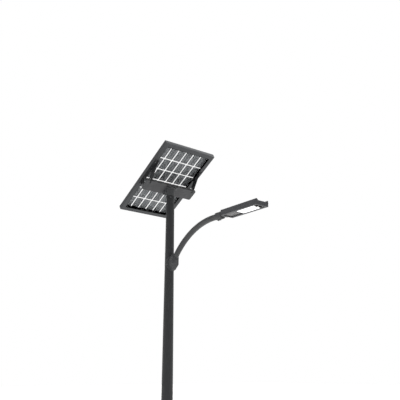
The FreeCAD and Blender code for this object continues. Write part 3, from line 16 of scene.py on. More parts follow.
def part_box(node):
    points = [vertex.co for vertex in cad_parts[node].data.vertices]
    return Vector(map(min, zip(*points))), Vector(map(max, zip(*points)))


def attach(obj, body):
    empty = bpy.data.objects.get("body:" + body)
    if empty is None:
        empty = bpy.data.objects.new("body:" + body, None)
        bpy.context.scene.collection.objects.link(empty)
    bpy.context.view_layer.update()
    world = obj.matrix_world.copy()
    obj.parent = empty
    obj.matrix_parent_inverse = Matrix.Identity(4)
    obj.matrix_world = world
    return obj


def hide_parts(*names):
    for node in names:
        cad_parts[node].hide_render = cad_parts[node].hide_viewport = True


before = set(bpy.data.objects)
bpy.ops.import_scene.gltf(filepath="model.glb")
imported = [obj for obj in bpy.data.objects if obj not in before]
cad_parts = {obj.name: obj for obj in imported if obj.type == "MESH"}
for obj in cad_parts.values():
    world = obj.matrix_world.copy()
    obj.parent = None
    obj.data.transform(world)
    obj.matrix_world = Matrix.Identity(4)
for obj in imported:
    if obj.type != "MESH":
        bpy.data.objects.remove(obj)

LOG = logging.getLogger("solar_street_lamp")
MM = 0.001
MERGE_MM = 0.001
EDGE_ANGLE = math.radians(40)
SMOOTH_ANGLE = math.radians(35)


# ---------------------------------------------------------------- shader helpers
def linear(code: str) -> tuple[float, float, float, float]:
    """Turns an sRGB hex colour into linear light.

    Args:
        code: Colour such as "#4b4c4e".

    Returns:
        Linear red, green, blue and an alpha of 1.
    """
    channels = []
    for start in (1, 3, 5):
        value = int(code[start:start + 2], 16) / 255
        channels.append(value / 12.92 if value <= 0.04045 else ((value + 0.055) / 1.055) ** 2.4)
    return channels[0], channels[1], channels[2], 1.0


def per_mm(size_mm: float) -> float:
    """Returns the texture scale whose features are about size_mm across."""
    return 1 / (size_mm * MM)


def add_node(tree: bpy.types.NodeTree, kind: str, settings: dict | None = None,
             links: dict | None = None) -> bpy.types.Node:
    """Adds a shader node with its settings and links.

    Args:
        tree: Node tree of the material or world.
        kind: Blender's name for the node type.
        settings: Input values by socket name or number, and properties by their own name.
        links: Source socket for each input socket name or number.

    Returns:
        The new node.
    """
    made = tree.nodes.new(kind)
    for key, value in (settings or {}).items():
        if isinstance(key, int) or key in made.inputs:
            made.inputs[key].default_value = value
        else:
            setattr(made, key, value)
    for key, source in (links or {}).items():
        tree.links.new(source, made.inputs[key])
    return made


@dataclass(frozen=True)
class Finish:
    """A surface finish, built once as a procedural material."""

    name: str

    def surface(self, tree: bpy.types.NodeTree) -> bpy.types.Node:
        """Builds the shader that gives the finish its look.

        Args:
            tree: Node tree to build in.

        Returns:
            The shader node to connect to the surface.
        """
        raise NotImplementedError

    def material(self) -> bpy.types.Material:
        """Makes the finish's material on first use.

        Returns:
            The material, the same one each time.
        """
        ready = bpy.data.materials.get(self.name)
        if ready:
            return ready
        made = bpy.data.materials.new(self.name)
        made.use_nodes = True
        tree = made.node_tree
        tree.nodes.clear()
        shader = self.surface(tree)
        add_node(tree, "ShaderNodeOutputMaterial", links={"Surface": shader.outputs[0]})
        return made


def noise(tree: bpy.types.NodeTree, size_mm: float, detail: float,
          stretch: tuple[float, float, float] = (1, 1, 1),
          turn_y: float = 0.0) -> bpy.types.NodeSocket:
    """Makes a noise pattern that is tied to the piece itself.

    Args:
        tree: Node tree to build in.
        size_mm: Width of the grain.
        detail: Octaves of finer grain.
        stretch: Scale along X, Y and Z, so a small number draws the grain out along that axis.
        turn_y: Turn about Y, in radians, before the stretch.

    Returns:
        Socket that carries the pattern.
    """
    place = add_node(tree, "ShaderNodeTexCoord")
    level = add_node(tree, "ShaderNodeMapping", {"Rotation": (0.0, turn_y, 0.0)},
                     {"Vector": place.outputs["Object"]})
    drawn = add_node(tree, "ShaderNodeMapping", {"Scale": stretch}, {"Vector": level.outputs["Vector"]})
    grain = add_node(tree, "ShaderNodeTexNoise", {"Scale": per_mm(size_mm), "Detail": detail},
                     {"Vector": drawn.outputs["Vector"]})
    return grain.outputs["Fac"]


def spread(tree: bpy.types.NodeTree, source: bpy.types.NodeSocket, low: float, high: float,
           start: float = 0.3, end: float = 0.7) -> bpy.types.NodeSocket:
    """Remaps a value from one range to another, and holds it there beyond.

    Args:
        tree: Node tree to build in.
        source: Socket to remap.
        low: Result at start.
        high: Result at end.
        start: Value of source that gives low.
        end: Value of source that gives high.

    Returns:
        Socket that carries the remapped value.
    """
    ranged = add_node(tree, "ShaderNodeMapRange",
                      {"From Min": start, "From Max": end, "To Min": low, "To Max": high},
                      {"Value": source})
    return ranged.outputs["Result"]


def blend(tree: bpy.types.NodeTree, amount: bpy.types.NodeSocket, first: object,
          second: object) -> bpy.types.NodeSocket:
    """Mixes two colours.

    Args:
        tree: Node tree to build in.
        amount: Socket that is 0 for the first colour and 1 for the second.
        first: Hex colour or socket.
        second: Hex colour or socket.

    Returns:
        Socket that carries the mixed colour.
    """
    mixer = add_node(tree, "ShaderNodeMix", {"data_type": "RGBA"}, {0: amount})
    for index, value in ((6, first), (7, second)):
        if isinstance(value, str):
            mixer.inputs[index].default_value = linear(value)
        else:
            tree.links.new(value, mixer.inputs[index])
    return mixer.outputs[2]


def facing_up(tree: bpy.types.NodeTree, start: float, end: float) -> bpy.types.NodeSocket:
    """Measures how far a surface leans towards the sky.

    Args:
        tree: Node tree to build in.
        start: Upward part of the normal that still gives 0.
        end: Upward part of the normal that gives 1.

    Returns:
        Socket that carries the lean, 0 to 1.
    """
    geometry = add_node(tree, "ShaderNodeNewGeometry")
    parts = add_node(tree, "ShaderNodeSeparateXYZ", links={0: geometry.outputs["Normal"]})
    return spread(tree, parts.outputs["Z"], 0, 1, start, end)


# ---------------------------------------------------------------- finishes
@dataclass(frozen=True)
class PowderCoat(Finish):
    """Polyester powder coat, sprayed and baked: even colour, fine pebbled skin, soft broad highlights."""

    colour: str = "#363739"
    shade: str = "#303133"
    dust: str = "#6a665f"
    dust_amount: float = 0.35
    roughness: float = 0.5
    pebble_mm: float = 1.6
    pebble_depth_mm: float = 0.08
    cloud_mm: float = 90.0
    specular: float = 0.5

    def surface(self, tree: bpy.types.NodeTree) -> bpy.types.Node:
        """Builds a dielectric coat with clouded colour, dust on ledges and a pebbled bump.

        Args:
            tree: Node tree to build in.

        Returns:
            The surface shader.
        """
        # Coats vary a little in thickness, which gives the eye slow clouds of tone.
        clouds = noise(tree, self.cloud_mm, 4.0)
        coat = blend(tree, spread(tree, clouds, 0, 1), self.shade, self.colour)
        # Rain leaves dust only where a face looks up at the sky.
        ledge = facing_up(tree, 0.35, 0.95)
        patches = spread(tree, noise(tree, 28.0, 6.0), 0.3, self.dust_amount)
        settled = add_node(tree, "ShaderNodeMath", {"operation": "MULTIPLY"}, {0: ledge, 1: patches})
        colour = blend(tree, settled.outputs[0], coat, self.dust)
        # Pebbles in the cured skin break up the highlight; their real width is about half a
        # millimetre, and they are drawn coarser so that they show.
        pebbles = noise(tree, self.pebble_mm, 2.0)
        gloss = spread(tree, pebbles, self.roughness - 0.07, self.roughness + 0.09)
        bump = add_node(tree, "ShaderNodeBump", {"Strength": 0.35, "Distance": self.pebble_depth_mm * MM},
                        {"Height": pebbles})
        return add_node(tree, "ShaderNodeBsdfPrincipled",
                        {"IOR": 1.5, "Metallic": 0.0, "Specular IOR Level": self.specular},
                        {"Base Color": colour, "Roughness": gloss, "Normal": bump.outputs[0]})


class Grain(Enum):
    """Direction in which a part was extruded or brushed."""

    UP_THE_SLOPE = (0.02, 1.0, 1.0)
    ACROSS = (1.0, 0.02, 1.0)
    ALL_ROUND = (1.0, 1.0, 1.0)


@dataclass(frozen=True)
class AnodisedAluminium(Finish):
    """Dark anodised extrusion: metal under a thin dyed oxide, with faint die lines along its length."""

    colour: str = "#4c4d4f"
    shade: str = "#404143"
    roughness: float = 0.42
    grain: Grain = Grain.ALL_ROUND
    line_mm: float = 2.2

    def surface(self, tree: bpy.types.NodeTree) -> bpy.types.Node:
        """Builds a satin metal with die lines in its tone, gloss and bump.

        Args:
            tree: Node tree to build in.

        Returns:
            The surface shader.
        """
        # Die lines run the whole length of the bar; they are hair-thin, and drawn coarser to show.
        lines = noise(tree, self.line_mm, 3.0, self.grain.value, math.radians(30))
        clouds = noise(tree, 120.0, 3.0)
        tone = blend(tree, spread(tree, lines, 0, 1), self.shade, self.colour)
        colour = blend(tree, spread(tree, clouds, 0.0, 0.3), tone, self.shade)
        gloss = spread(tree, lines, self.roughness - 0.06, self.roughness + 0.08)
        bump = add_node(tree, "ShaderNodeBump", {"Strength": 0.2, "Distance": 0.03 * MM}, {"Height": lines})
        return add_node(tree, "ShaderNodeBsdfPrincipled", {"Metallic": 0.85},
                        {"Base Color": colour, "Roughness": gloss, "Normal": bump.outputs[0]})


@dataclass(frozen=True)
class BareMetal(Finish):
    """Uncoated metal, turned, rolled or drawn: a bright body with fine tool marks and dull patches."""

    colour: str = "#8d8e90"
    stain: str = "#5f5d5a"
    roughness: float = 0.34
    mark_mm: float = 0.9

    def surface(self, tree: bpy.types.NodeTree) -> bpy.types.Node:
        """Builds a metal with weathered patches and tool marks.

        Args:
            tree: Node tree to build in.

        Returns:
            The surface shader.
        """
        # Weather dulls a plain metal in patches several millimetres wide.
        weather = noise(tree, 7.0, 5.0)
        colour = blend(tree, spread(tree, weather, 0, 1), self.stain, self.colour)
        marks = noise(tree, self.mark_mm, 2.0)
        gloss = spread(tree, weather, self.roughness + 0.16, self.roughness - 0.06)
        bump = add_node(tree, "ShaderNodeBump", {"Strength": 0.25, "Distance": 0.04 * MM}, {"Height": marks})
        return add_node(tree, "ShaderNodeBsdfPrincipled", {"Metallic": 1.0},
                        {"Base Color": colour, "Roughness": gloss, "Normal": bump.outputs[0]})


@dataclass(frozen=True)
class ModuleGlass(Finish):
    """Low-iron float glass: clear straight on, mirror-like at a glance, with a thin film of dust."""

    film: str = "#dfe3e2"
    film_amount: float = 0.012
    glance_power: float = 5.0

    def surface(self, tree: bpy.types.NodeTree) -> bpy.types.Node:
        """Builds a thin clear pane whose cover grows towards a glancing view.

        Args:
            tree: Node tree to build in.

        Returns:
            The surface shader.
        """
        # Glass reflects little straight on and almost everything at a glance.
        lean = add_node(tree, "ShaderNodeLayerWeight", {"Blend": 0.5})
        glance = add_node(tree, "ShaderNodeMath", {"operation": "POWER", 1: self.glance_power},
                          {0: lean.outputs["Facing"]})
        dust = spread(tree, noise(tree, 45.0, 6.0), self.film_amount * 0.5, self.film_amount)
        cover = add_node(tree, "ShaderNodeMath", {"operation": "ADD", "use_clamp": True},
                         {0: glance.outputs[0], 1: dust})
        return add_node(tree, "ShaderNodeBsdfPrincipled",
                        {"Base Color": linear(self.film), "IOR": 1.5, "Roughness": 0.06},
                        {"Alpha": cover.outputs[0]})


@dataclass(frozen=True)
class CellBack(Finish):
    """Printed aluminium paste on the back of a silicon cell: matte mid grey with a fired, mottled skin."""

    colour: str = "#606265"
    shade: str = "#55575a"
    speckle_mm: float = 4.0

    def surface(self, tree: bpy.types.NodeTree) -> bpy.types.Node:
        """Builds the paste's mottled grey.

        Args:
            tree: Node tree to build in.

        Returns:
            The surface shader.
        """
        # Firing clouds the paste across each cell and leaves it speckled at about a millimetre,
        # which is drawn coarser so that it shows.
        speckle = noise(tree, self.speckle_mm, 3.0)
        clouds = noise(tree, 70.0, 3.0)
        grain = blend(tree, spread(tree, speckle, 0, 1), self.shade, self.colour)
        colour = blend(tree, spread(tree, clouds, 0.0, 0.45), grain, self.shade)
        bump = add_node(tree, "ShaderNodeBump", {"Strength": 0.2, "Distance": 0.02 * MM}, {"Height": speckle})
        return add_node(tree, "ShaderNodeBsdfPrincipled",
                        {"IOR": 1.5, "Roughness": 0.62, "Metallic": 0.1, "Specular IOR Level": 0.25},
                        {"Base Color": colour, "Normal": bump.outputs[0]})


@dataclass(frozen=True)
class CellFront(Finish):
    """Etched silicon under a nitride film: blue-black, crossed by hair-thin printed silver fingers."""

    colour: str = "#0d1420"
    tint: str = "#162647"
    finger: str = "#8b9098"
    finger_pitch_mm: float = 3.2

    def surface(self, tree: bpy.types.NodeTree) -> bpy.types.Node:
        """Builds the dark cell with its silver fingers.

        Args:
            tree: Node tree to build in.

        Returns:
            The surface shader.
        """
        # The nitride film varies in thickness, which shifts the blue slowly from cell to cell.
        film = noise(tree, 130.0, 2.0)
        body = blend(tree, spread(tree, film, 0, 1), self.colour, self.tint)
        # Fingers are 0.1 mm wide at a 1.6 mm pitch; they are drawn at twice that pitch to show.
        place = add_node(tree, "ShaderNodeTexCoord")
        level = add_node(tree, "ShaderNodeMapping", {"Rotation": (0.0, math.radians(30), 0.0)},
                         {"Vector": place.outputs["Object"]})
        lines = add_node(tree, "ShaderNodeTexWave",
                         {"bands_direction": "X", "Scale": per_mm(self.finger_pitch_mm) / 20.0 * math.pi},
                         {"Vector": level.outputs["Vector"]})
        on_finger = spread(tree, lines.outputs["Fac"], 0, 0.5, 0.93, 0.99)
        colour = blend(tree, on_finger, body, self.finger)
        return add_node(tree, "ShaderNodeBsdfPrincipled",
                        {"IOR": 1.9, "Roughness": 0.3, "Coat Weight": 0.4, "Coat Roughness": 0.1},
                        {"Base Color": colour})


@dataclass(frozen=True)
class OpalAcrylic(Finish):
    """Opal acrylic lit from behind: an even white glow with faint pools of light."""

    colour: str = "#f7f8f8"
    glow: float = 0.85

    def surface(self, tree: bpy.types.NodeTree) -> bpy.types.Node:
        """Builds a glowing white plastic.

        Args:
            tree: Node tree to build in.

        Returns:
            The surface shader.
        """
        # Light from the rows of emitters mixes inside the sheet and leaves only faint pools.
        pools = noise(tree, 22.0, 1.0)
        strength = spread(tree, pools, self.glow * 0.92, self.glow)
        return add_node(tree, "ShaderNodeBsdfPrincipled",
                        {"Base Color": linear(self.colour), "IOR": 1.49, "Roughness": 0.35,
                         "Emission Color": linear("#fbfdff")},
                        {"Emission Strength": strength})


@dataclass(frozen=True)
class MouldedPlastic(Finish):
    """Moulded or cast polymer, such as nylon, rubber or polycarbonate: even colour, fine texture."""

    colour: str = "#232325"
    shade: str = "#1c1c1e"
    roughness: float = 0.5
    texture_mm: float = 1.1
    specular: float = 0.5

    def surface(self, tree: bpy.types.NodeTree) -> bpy.types.Node:
        """Builds a textured plastic.

        Args:
            tree: Node tree to build in.

        Returns:
            The surface shader.
        """
        # The fine texture that a mould or a film leaves breaks the gloss into points.
        skin = noise(tree, self.texture_mm, 2.0)
        colour = blend(tree, spread(tree, noise(tree, 30.0, 3.0), 0, 1), self.shade, self.colour)
        gloss = spread(tree, skin, self.roughness - 0.08, self.roughness + 0.08)
        bump = add_node(tree, "ShaderNodeBump", {"Strength": 0.3, "Distance": 0.05 * MM}, {"Height": skin})
        return add_node(tree, "ShaderNodeBsdfPrincipled", {"IOR": 1.53, "Specular IOR Level": self.specular},
                        {"Base Color": colour, "Roughness": gloss, "Normal": bump.outputs[0]})


@dataclass(frozen=True)
class PlainMatte(Finish):
    """Matte studio paint with a barely visible tooth."""

    colour: str = "#f4f4f2"

    def surface(self, tree: bpy.types.NodeTree) -> bpy.types.Node:
        """Builds a rough, even paint.

        Args:
            tree: Node tree to build in.

        Returns:
            The surface shader.
        """
        tooth = noise(tree, 400.0, 2.0)
        colour = blend(tree, spread(tree, tooth, 0, 0.15), self.colour, "#ececea")
        return add_node(tree, "ShaderNodeBsdfPrincipled", {"IOR": 1.45, "Roughness": 0.9},
                        {"Base Color": colour})


POLE_COAT = PowderCoat("charcoal_pole_coat", colour="#28292b", shade="#222325", specular=0.4)
ARM_COAT = PowderCoat("charcoal_arm_coat", colour="#343537", shade="#2e2f31", specular=0.45)
CAST_COAT = PowderCoat("charcoal_casting_coat", colour="#3c3d3f", shade="#343537", pebble_mm=2.6,
                       pebble_depth_mm=0.16, specular=0.35)
HOUSING_COAT = PowderCoat("grey_housing_coat", colour="#464648", shade="#3f3f41", roughness=0.55,
                          specular=0.25)
HEAD_COAT = PowderCoat("charcoal_head_coat", colour="#414245", shade="#393a3d", specular=0.3)
BRACKET_COAT = PowderCoat("black_bracket_coat", colour="#232426", shade="#1e1f21", specular=0.3)
COVER_PAINT = PowderCoat("mid_grey_cover_coat", colour="#6e6e6f", shade="#646465", dust_amount=0.2,
                         specular=0.3)
RAIL_ALONG = AnodisedAluminium("frame_anodised_side", grain=Grain.UP_THE_SLOPE)
RAIL_ACROSS = AnodisedAluminium("frame_anodised_end", grain=Grain.ACROSS)
KEY_ALUMINIUM = BareMetal("corner_key_aluminium", colour="#a9abad", stain="#8d8f91")
RING_STEEL = BareMetal("spigot_ring_steel", colour="#7c7d80", stain="#5a5a5c")
STAINLESS = BareMetal("stainless_steel", colour="#77787a", stain="#4e4e50", roughness=0.38)
WELD_METAL = PowderCoat("coated_weld_bead", colour="#37383a", shade="#2f3032", pebble_mm=3.0)
BRASS = BareMetal("dull_brass", colour="#b08f4c", stain="#6f5a31")
TINNED = BareMetal("tinned_copper", colour="#a6a8aa", stain="#8f9193", roughness=0.3)
GLASS = ModuleGlass("module_glass")
CELL_BACK = CellBack("cell_aluminium_paste")
CELL_FRONT = CellFront("cell_silicon")
OPAL = OpalAcrylic("opal_acrylic")
BLACK_PLASTIC = MouldedPlastic("black_nylon")
RUBBER = MouldedPlastic("epdm_rubber", colour="#1d1d1e", shade="#161617", roughness=0.75)
# Near-black border round the cells: partly the laminate's own black border, partly painted shade that stands
# for the dim inside of the frame.
BLACK_BORDER_AND_PAINTED_SHADE = MouldedPlastic("black_border_and_painted_shade", colour="#0a0a0b", shade="#070708", roughness=0.8,
                             specular=0.1)
SMOKED = MouldedPlastic("smoked_polycarbonate", colour="#0b0b0c", shade="#080809", roughness=0.16,
                        specular=0.2)
CELL_WRAP = MouldedPlastic("battery_shrink_wrap", colour="#23517c", shade="#1d4468", roughness=0.25)
BOARD_WHITE = MouldedPlastic("white_solder_mask", colour="#e6e8e6", shade="#dcdedc", roughness=0.4)
PHOSPHOR = MouldedPlastic("led_phosphor", colour="#e9d66b", shade="#dfc95a", roughness=0.3)
CASE_METAL = AnodisedAluminium("ribbed_aluminium_case", colour="#97999b", shade="#898b8d")
FLOOR_PAINT = PlainMatte("studio_floor")


# ---------------------------------------------------------------- mesh helpers
def dress(finish: Finish, *nodes: str) -> None:
    """Gives CAD nodes a finish.

    Args:
        finish: The finish to use.
        nodes: Names of the CAD nodes.
    """
    for name in nodes:
        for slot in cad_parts[name].material_slots:
            slot.material = finish.material()
        LOG.info("dressed %s in %s", name, finish.name)


def new_piece(name: str, build: Callable[[bmesh.types.BMesh], None], finishes: Sequence[Finish],
              body: str, smooth: bool = True) -> bpy.types.Object:
    """Makes a mesh piece and fixes it to a body.

    Args:
        name: Name of the new object.
        build: Function that fills the mesh, in the lamp's frame.
        finishes: Finishes for the mesh's material indices.
        body: CAD body that the piece rides on.
        smooth: Whether rounded faces are shaded smooth.

    Returns:
        The new object.
    """
    mesh = bmesh.new()
    build(mesh)
    bmesh.ops.recalc_face_normals(mesh, faces=mesh.faces)
    for face in mesh.faces:
        face.smooth = smooth
    for edge in mesh.edges:
        edge.smooth = len(edge.link_faces) != 2 or edge.calc_face_angle(0.0) < SMOOTH_ANGLE
    data = bpy.data.meshes.new(name)
    mesh.to_mesh(data)
    mesh.free()
    for finish in finishes:
        data.materials.append(finish.material())
    piece = bpy.data.objects.new(name, data)
    bpy.context.scene.collection.objects.link(piece)
    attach(piece, body)
    LOG.info("made %s on %s", name, body)
    return piece


def sweep(mesh: bmesh.types.BMesh, path: Sequence[Vector], radius: Callable[[int], float],
          sides: int = 10, closed: bool = False) -> None:
    """Adds a round bar that follows a path.

    Args:
        mesh: Mesh to add to.
        path: Points along the bar's middle.
        radius: Function of the point's number that gives the bar's radius there.
        sides: Points round the bar.
        closed: Whether the path's end joins its start.
    """
    count = len(path)
    side = None
    rings = []
    for k, point in enumerate(path):
        before = path[(k - 1) % count] if closed or k > 0 else point
        after = path[(k + 1) % count] if closed or k < count - 1 else point
        along = (after - before).normalized()
        if side is None:
            side = along.orthogonal().normalized()
        side = (side - along * side.dot(along)).normalized()
        other = along.cross(side)
        ring = []
        for step in range(sides):
            turn = 2 * math.pi * step / sides
            offset = (side * math.cos(turn) + other * math.sin(turn)) * radius(k)
            ring.append(mesh.verts.new(point + offset))
        rings.append(ring)
    pairs = list(zip(rings, rings[1:]))
    if closed:
        pairs.append((rings[-1], rings[0]))
    for first, second in pairs:
        for step in range(sides):
            after = (step + 1) % sides
            mesh.faces.new((first[step], first[after], second[after], second[step]))
    if not closed:
        mesh.faces.new(rings[0])
        mesh.faces.new(rings[-1])


def rounded_outline(x0: float, x1: float, y0: float, y1: float, radius: float,
                    steps: int = 5) -> list[tuple[float, float]]:
    """Draws a rectangle with rounded corners.

    Args:
        x0: Lower side along the first axis.
        x1: Upper side along the first axis.
        y0: Lower side along the second axis.
        y1: Upper side along the second axis.
        radius: Radius of the corners.
        steps: Straight pieces in each corner.

    Returns:
        The outline's points, in order.
    """
    points = []
    corners = ((x1 - radius, y1 - radius, 0), (x0 + radius, y1 - radius, 90),
               (x0 + radius, y0 + radius, 180), (x1 - radius, y0 + radius, 270))
    for x, y, start in corners:
        for step in range(steps + 1):
            turn = math.radians(start + 90 * step / steps)
            points.append((x + radius * math.cos(turn), y + radius * math.sin(turn)))
    return points


def stack(mesh: bmesh.types.BMesh, layers: Sequence[Sequence[Vector]], cap_start: bool = True,
          cap_end: bool = True) -> None:
    """Adds a skin through rings of equally many points.

    Args:
        mesh: Mesh to add to.
        layers: The rings, from first to last.
        cap_start: Whether the first ring is filled.
        cap_end: Whether the last ring is filled.
    """
    rings = [[mesh.verts.new(point) for point in layer] for layer in layers]
    for first, second in zip(rings, rings[1:]):
        count = len(first)
        for k in range(count):
            after = (k + 1) % count
            mesh.faces.new((first[k], first[after], second[after], second[k]))
    if cap_start:
        mesh.faces.new(rings[0])
    if cap_end:
        mesh.faces.new(rings[-1])


def soften(width_mm: float, *nodes: str) -> None:
    """Rounds the sharp edges of CAD nodes, so that they catch a line of light.

    Args:
        width_mm: Width of the rounded edge.
        nodes: Names of the CAD nodes.
    """
    for name in nodes:
        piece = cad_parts[name]
        join = piece.modifiers.new("join_faces", "WELD")
        join.merge_threshold = MERGE_MM * MM
        edge = piece.modifiers.new("rounded_edges", "BEVEL")
        edge.width = width_mm * MM
        edge.segments = 2
        edge.limit_method = "ANGLE"
        edge.angle_limit = EDGE_ANGLE
        edge.harden_normals = True


def ripple(base: float, depth: float, period: int) -> Callable[[int], float]:
    """Returns a radius that swells every few points, like the ripples of a weld."""
    return lambda k: base * (1 + depth * math.cos(2 * math.pi * k / period))


# ---------------------------------------------------------------- sub-assemblies
@dataclass
class Pole:
    """Tapered pole with its base flange, gussets and the parts fixed inside its top."""

    edge_mm: float = 1.2
    top_radius_mm: float = 36.5
    wall_mm: float = 3.5
    rim_mm: float = 0.5
    shaft_sides: int = 128
    gusset_half_mm: float = 4.0
    bead_mm: float = 4.0
    ripple_points: int = 6
    foot_points: int = 300
    gusset_points: int = 70

    def dress_frame(self) -> None:
        """Gives the CAD pieces of the pole their finishes."""
        dress(POLE_COAT, "base_flange", "base_gussets")
        soften(self.edge_mm, "base_flange", "base_gussets")
        dress(RING_STEEL, "spigot_rings")
        dress(STAINLESS, "azimuth_screws")
        dress(BRASS, "earth_stud")

    def add_shaft_skin(self) -> None:
        """Adds the tapered shaft as one smooth tube, in place of the faceted CAD cone."""
        low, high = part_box("pole_shaft")
        foot = (high.x - low.x) / 2
        top = self.top_radius_mm * MM
        wall = self.wall_mm * MM

        def ring(radius: float, z: float) -> list[Vector]:
            """Draws a fine circle about the pole's axis.

            Args:
                radius: Radius of the circle.
                z: Its height.

            Returns:
                The circle's points, in order.
            """
            turns = [2 * math.pi * k / self.shaft_sides for k in range(self.shaft_sides)]
            return [Vector((radius * math.cos(turn), radius * math.sin(turn), z)) for turn in turns]

        def build(mesh: bmesh.types.BMesh) -> None:
            """Fills the mesh with the outside, the bevelled rim and the bore.

            Args:
                mesh: Mesh to fill.
            """
            rim = self.rim_mm * MM
            outside = [ring(foot - wall, low.z), ring(foot, low.z), ring(top, high.z - rim)]
            inside = [ring(top - rim, high.z), ring(top - wall, high.z), ring(foot - wall, low.z)]
            stack(mesh, outside + inside, False, False)
            bmesh.ops.remove_doubles(mesh, verts=mesh.verts, dist=MERGE_MM * MM)

        skin = new_piece("shaft_skin", build, [POLE_COAT], "pole")
        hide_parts("pole_shaft")

    def foot_ring(self) -> list[Vector]:
        """Draws the path of the weld round the pole's foot.

        Returns:
            The path's points, in order.
        """
        low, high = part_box("pole_shaft")
        radius = (high.x - low.x) / 2
        height = low.z + self.bead_mm * MM * 0.4
        ring = []
        for k in range(self.foot_points):
            turn = 2 * math.pi * k / self.foot_points
            ring.append(Vector((radius * math.cos(turn), radius * math.sin(turn), height)))
        return ring

    def add_welds(self) -> None:
        """Adds the fillet welds at the pole's foot and along the gussets."""
        bead = self.bead_mm * MM

        def build(mesh: bmesh.types.BMesh) -> None:
            """Fills the mesh with the ring and the gusset beads.

            Args:
                mesh: Mesh to fill.
            """
            sweep(mesh, self.foot_ring(), ripple(bead, 0.1, self.ripple_points), 8, True)
            low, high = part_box("base_gussets")
            shaft_low, shaft_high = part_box("pole_shaft")
            radius = (shaft_high.x - shaft_low.x) / 2
            half = self.gusset_half_mm * MM
            for quarter in range(4):
                turn = Matrix.Rotation(math.radians(90 * quarter), 3, "Z")
                for side in (-half, half):
                    run = []
                    for k in range(self.gusset_points):
                        reach = radius + bead + (high.x - radius - 2 * bead) * k / (self.gusset_points - 1)
                        run.append(turn @ Vector((reach, side, low.z + bead * 0.25)))
                    sweep(mesh, run, ripple(bead * 0.7, 0.12, self.ripple_points), 8)

        new_piece("base_welds", build, [WELD_METAL], "pole")


@dataclass
class LampArm:
    """Bent arm, the saddle that holds it on the pole, and the clamp at its far end."""

    edge_mm: float = 1.0

    def dress_frame(self) -> None:
        """Gives the CAD pieces of the arm their finishes."""
        dress(ARM_COAT, "arm_tube")
        soften(self.edge_mm, "arm_saddle", "head_clamp")
        dress(CAST_COAT, "arm_saddle", "head_clamp")
        dress(STAINLESS, "saddle_screws", "arm_bolts", "head_clamp_screws", "head_pivot_bolt")


@dataclass
class LampHead:
    """Slim light head: cast shell, fork, opal lens, sensor window and the hinged cover over its gear."""

    edge_mm: float = 0.8
    cover_corner_mm: float = 7.0
    least_corner_mm: float = 2.0
    cover_edge_mm: float = 0.5
    border_mm: float = 5.0
    rib_count: int = 9
    rib_width_mm: float = 2.4
    rib_height_mm: float = 0.9
    rib_recess_mm: float = 0.1
    first_rib_mm: float = 9.0
    rib_margins_mm: float = 26.0

    def dress_frame(self) -> None:
        """Gives the CAD pieces of the head their finishes."""
        dress(HEAD_COAT, "head_housing", "head_end_cap")
        soften(self.edge_mm, "head_housing", "head_end_cap", "head_fork")
        dress(CAST_COAT, "head_fork")
        dress(STAINLESS, "fork_screws", "end_screws", "cover_hinge_pins", "cover_screw")
        dress(RUBBER, "lens_gasket")
        dress(BOARD_WHITE, "led_board")
        dress(PHOSPHOR, "led_chips")
        dress(SMOKED, "sensor_window")
        dress(CASE_METAL, "led_driver")
        dress(OPAL, "lens_plate")

    def add_cover_skin(self) -> None:
        """Adds the moulded gear cover: a rounded plate with a raised border and cooling ribs."""
        low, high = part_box("gear_cover")
        inner = low.z + self.rib_height_mm * MM
        corner = self.cover_corner_mm * MM
        border = self.border_mm * MM

        def ring(inset: float, z: float) -> list[Vector]:
            """Draws the cover's outline.

            Args:
                inset: How far the outline is pulled in.
                z: Its height.

            Returns:
                The outline's points, in order.
            """
            outline = rounded_outline(low.x + inset, high.x - inset, low.y + inset, high.y - inset,
                                      max(corner - inset, self.least_corner_mm * MM))
            return [Vector((x, y, z)) for x, y in outline]

        def build(mesh: bmesh.types.BMesh) -> None:
            """Fills the mesh with the plate, its border and the ribs.

            Args:
                mesh: Mesh to fill.
            """
            edge = self.cover_edge_mm * MM
            rim = [ring(0, high.z), ring(0, low.z + edge), ring(edge, low.z)]
            field = [ring(border - edge, low.z), ring(border, low.z + edge), ring(border, inner)]
            stack(mesh, rim + field)
            span = high.x - low.x - 2 * border - self.rib_margins_mm * MM
            half = self.rib_width_mm * MM / 2
            recess = self.rib_recess_mm * MM
            for k in range(self.rib_count):
                x = low.x + border + self.first_rib_mm * MM + span * k / (self.rib_count - 1)
                layers = []
                for inset, z in ((0, inner), (0, low.z + edge), (edge, low.z + recess)):
                    outline = rounded_outline(x - half + inset, x + half - inset, low.y + 3 * border + inset,
                                              high.y - 3 * border - inset, half - inset - recess, 3)
                    layers.append([Vector((a, b, z)) for a, b in outline])
                stack(mesh, layers)

        skin = new_piece("cover_skin", build, [COVER_PAINT], "gear_cover")
        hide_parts("gear_cover")


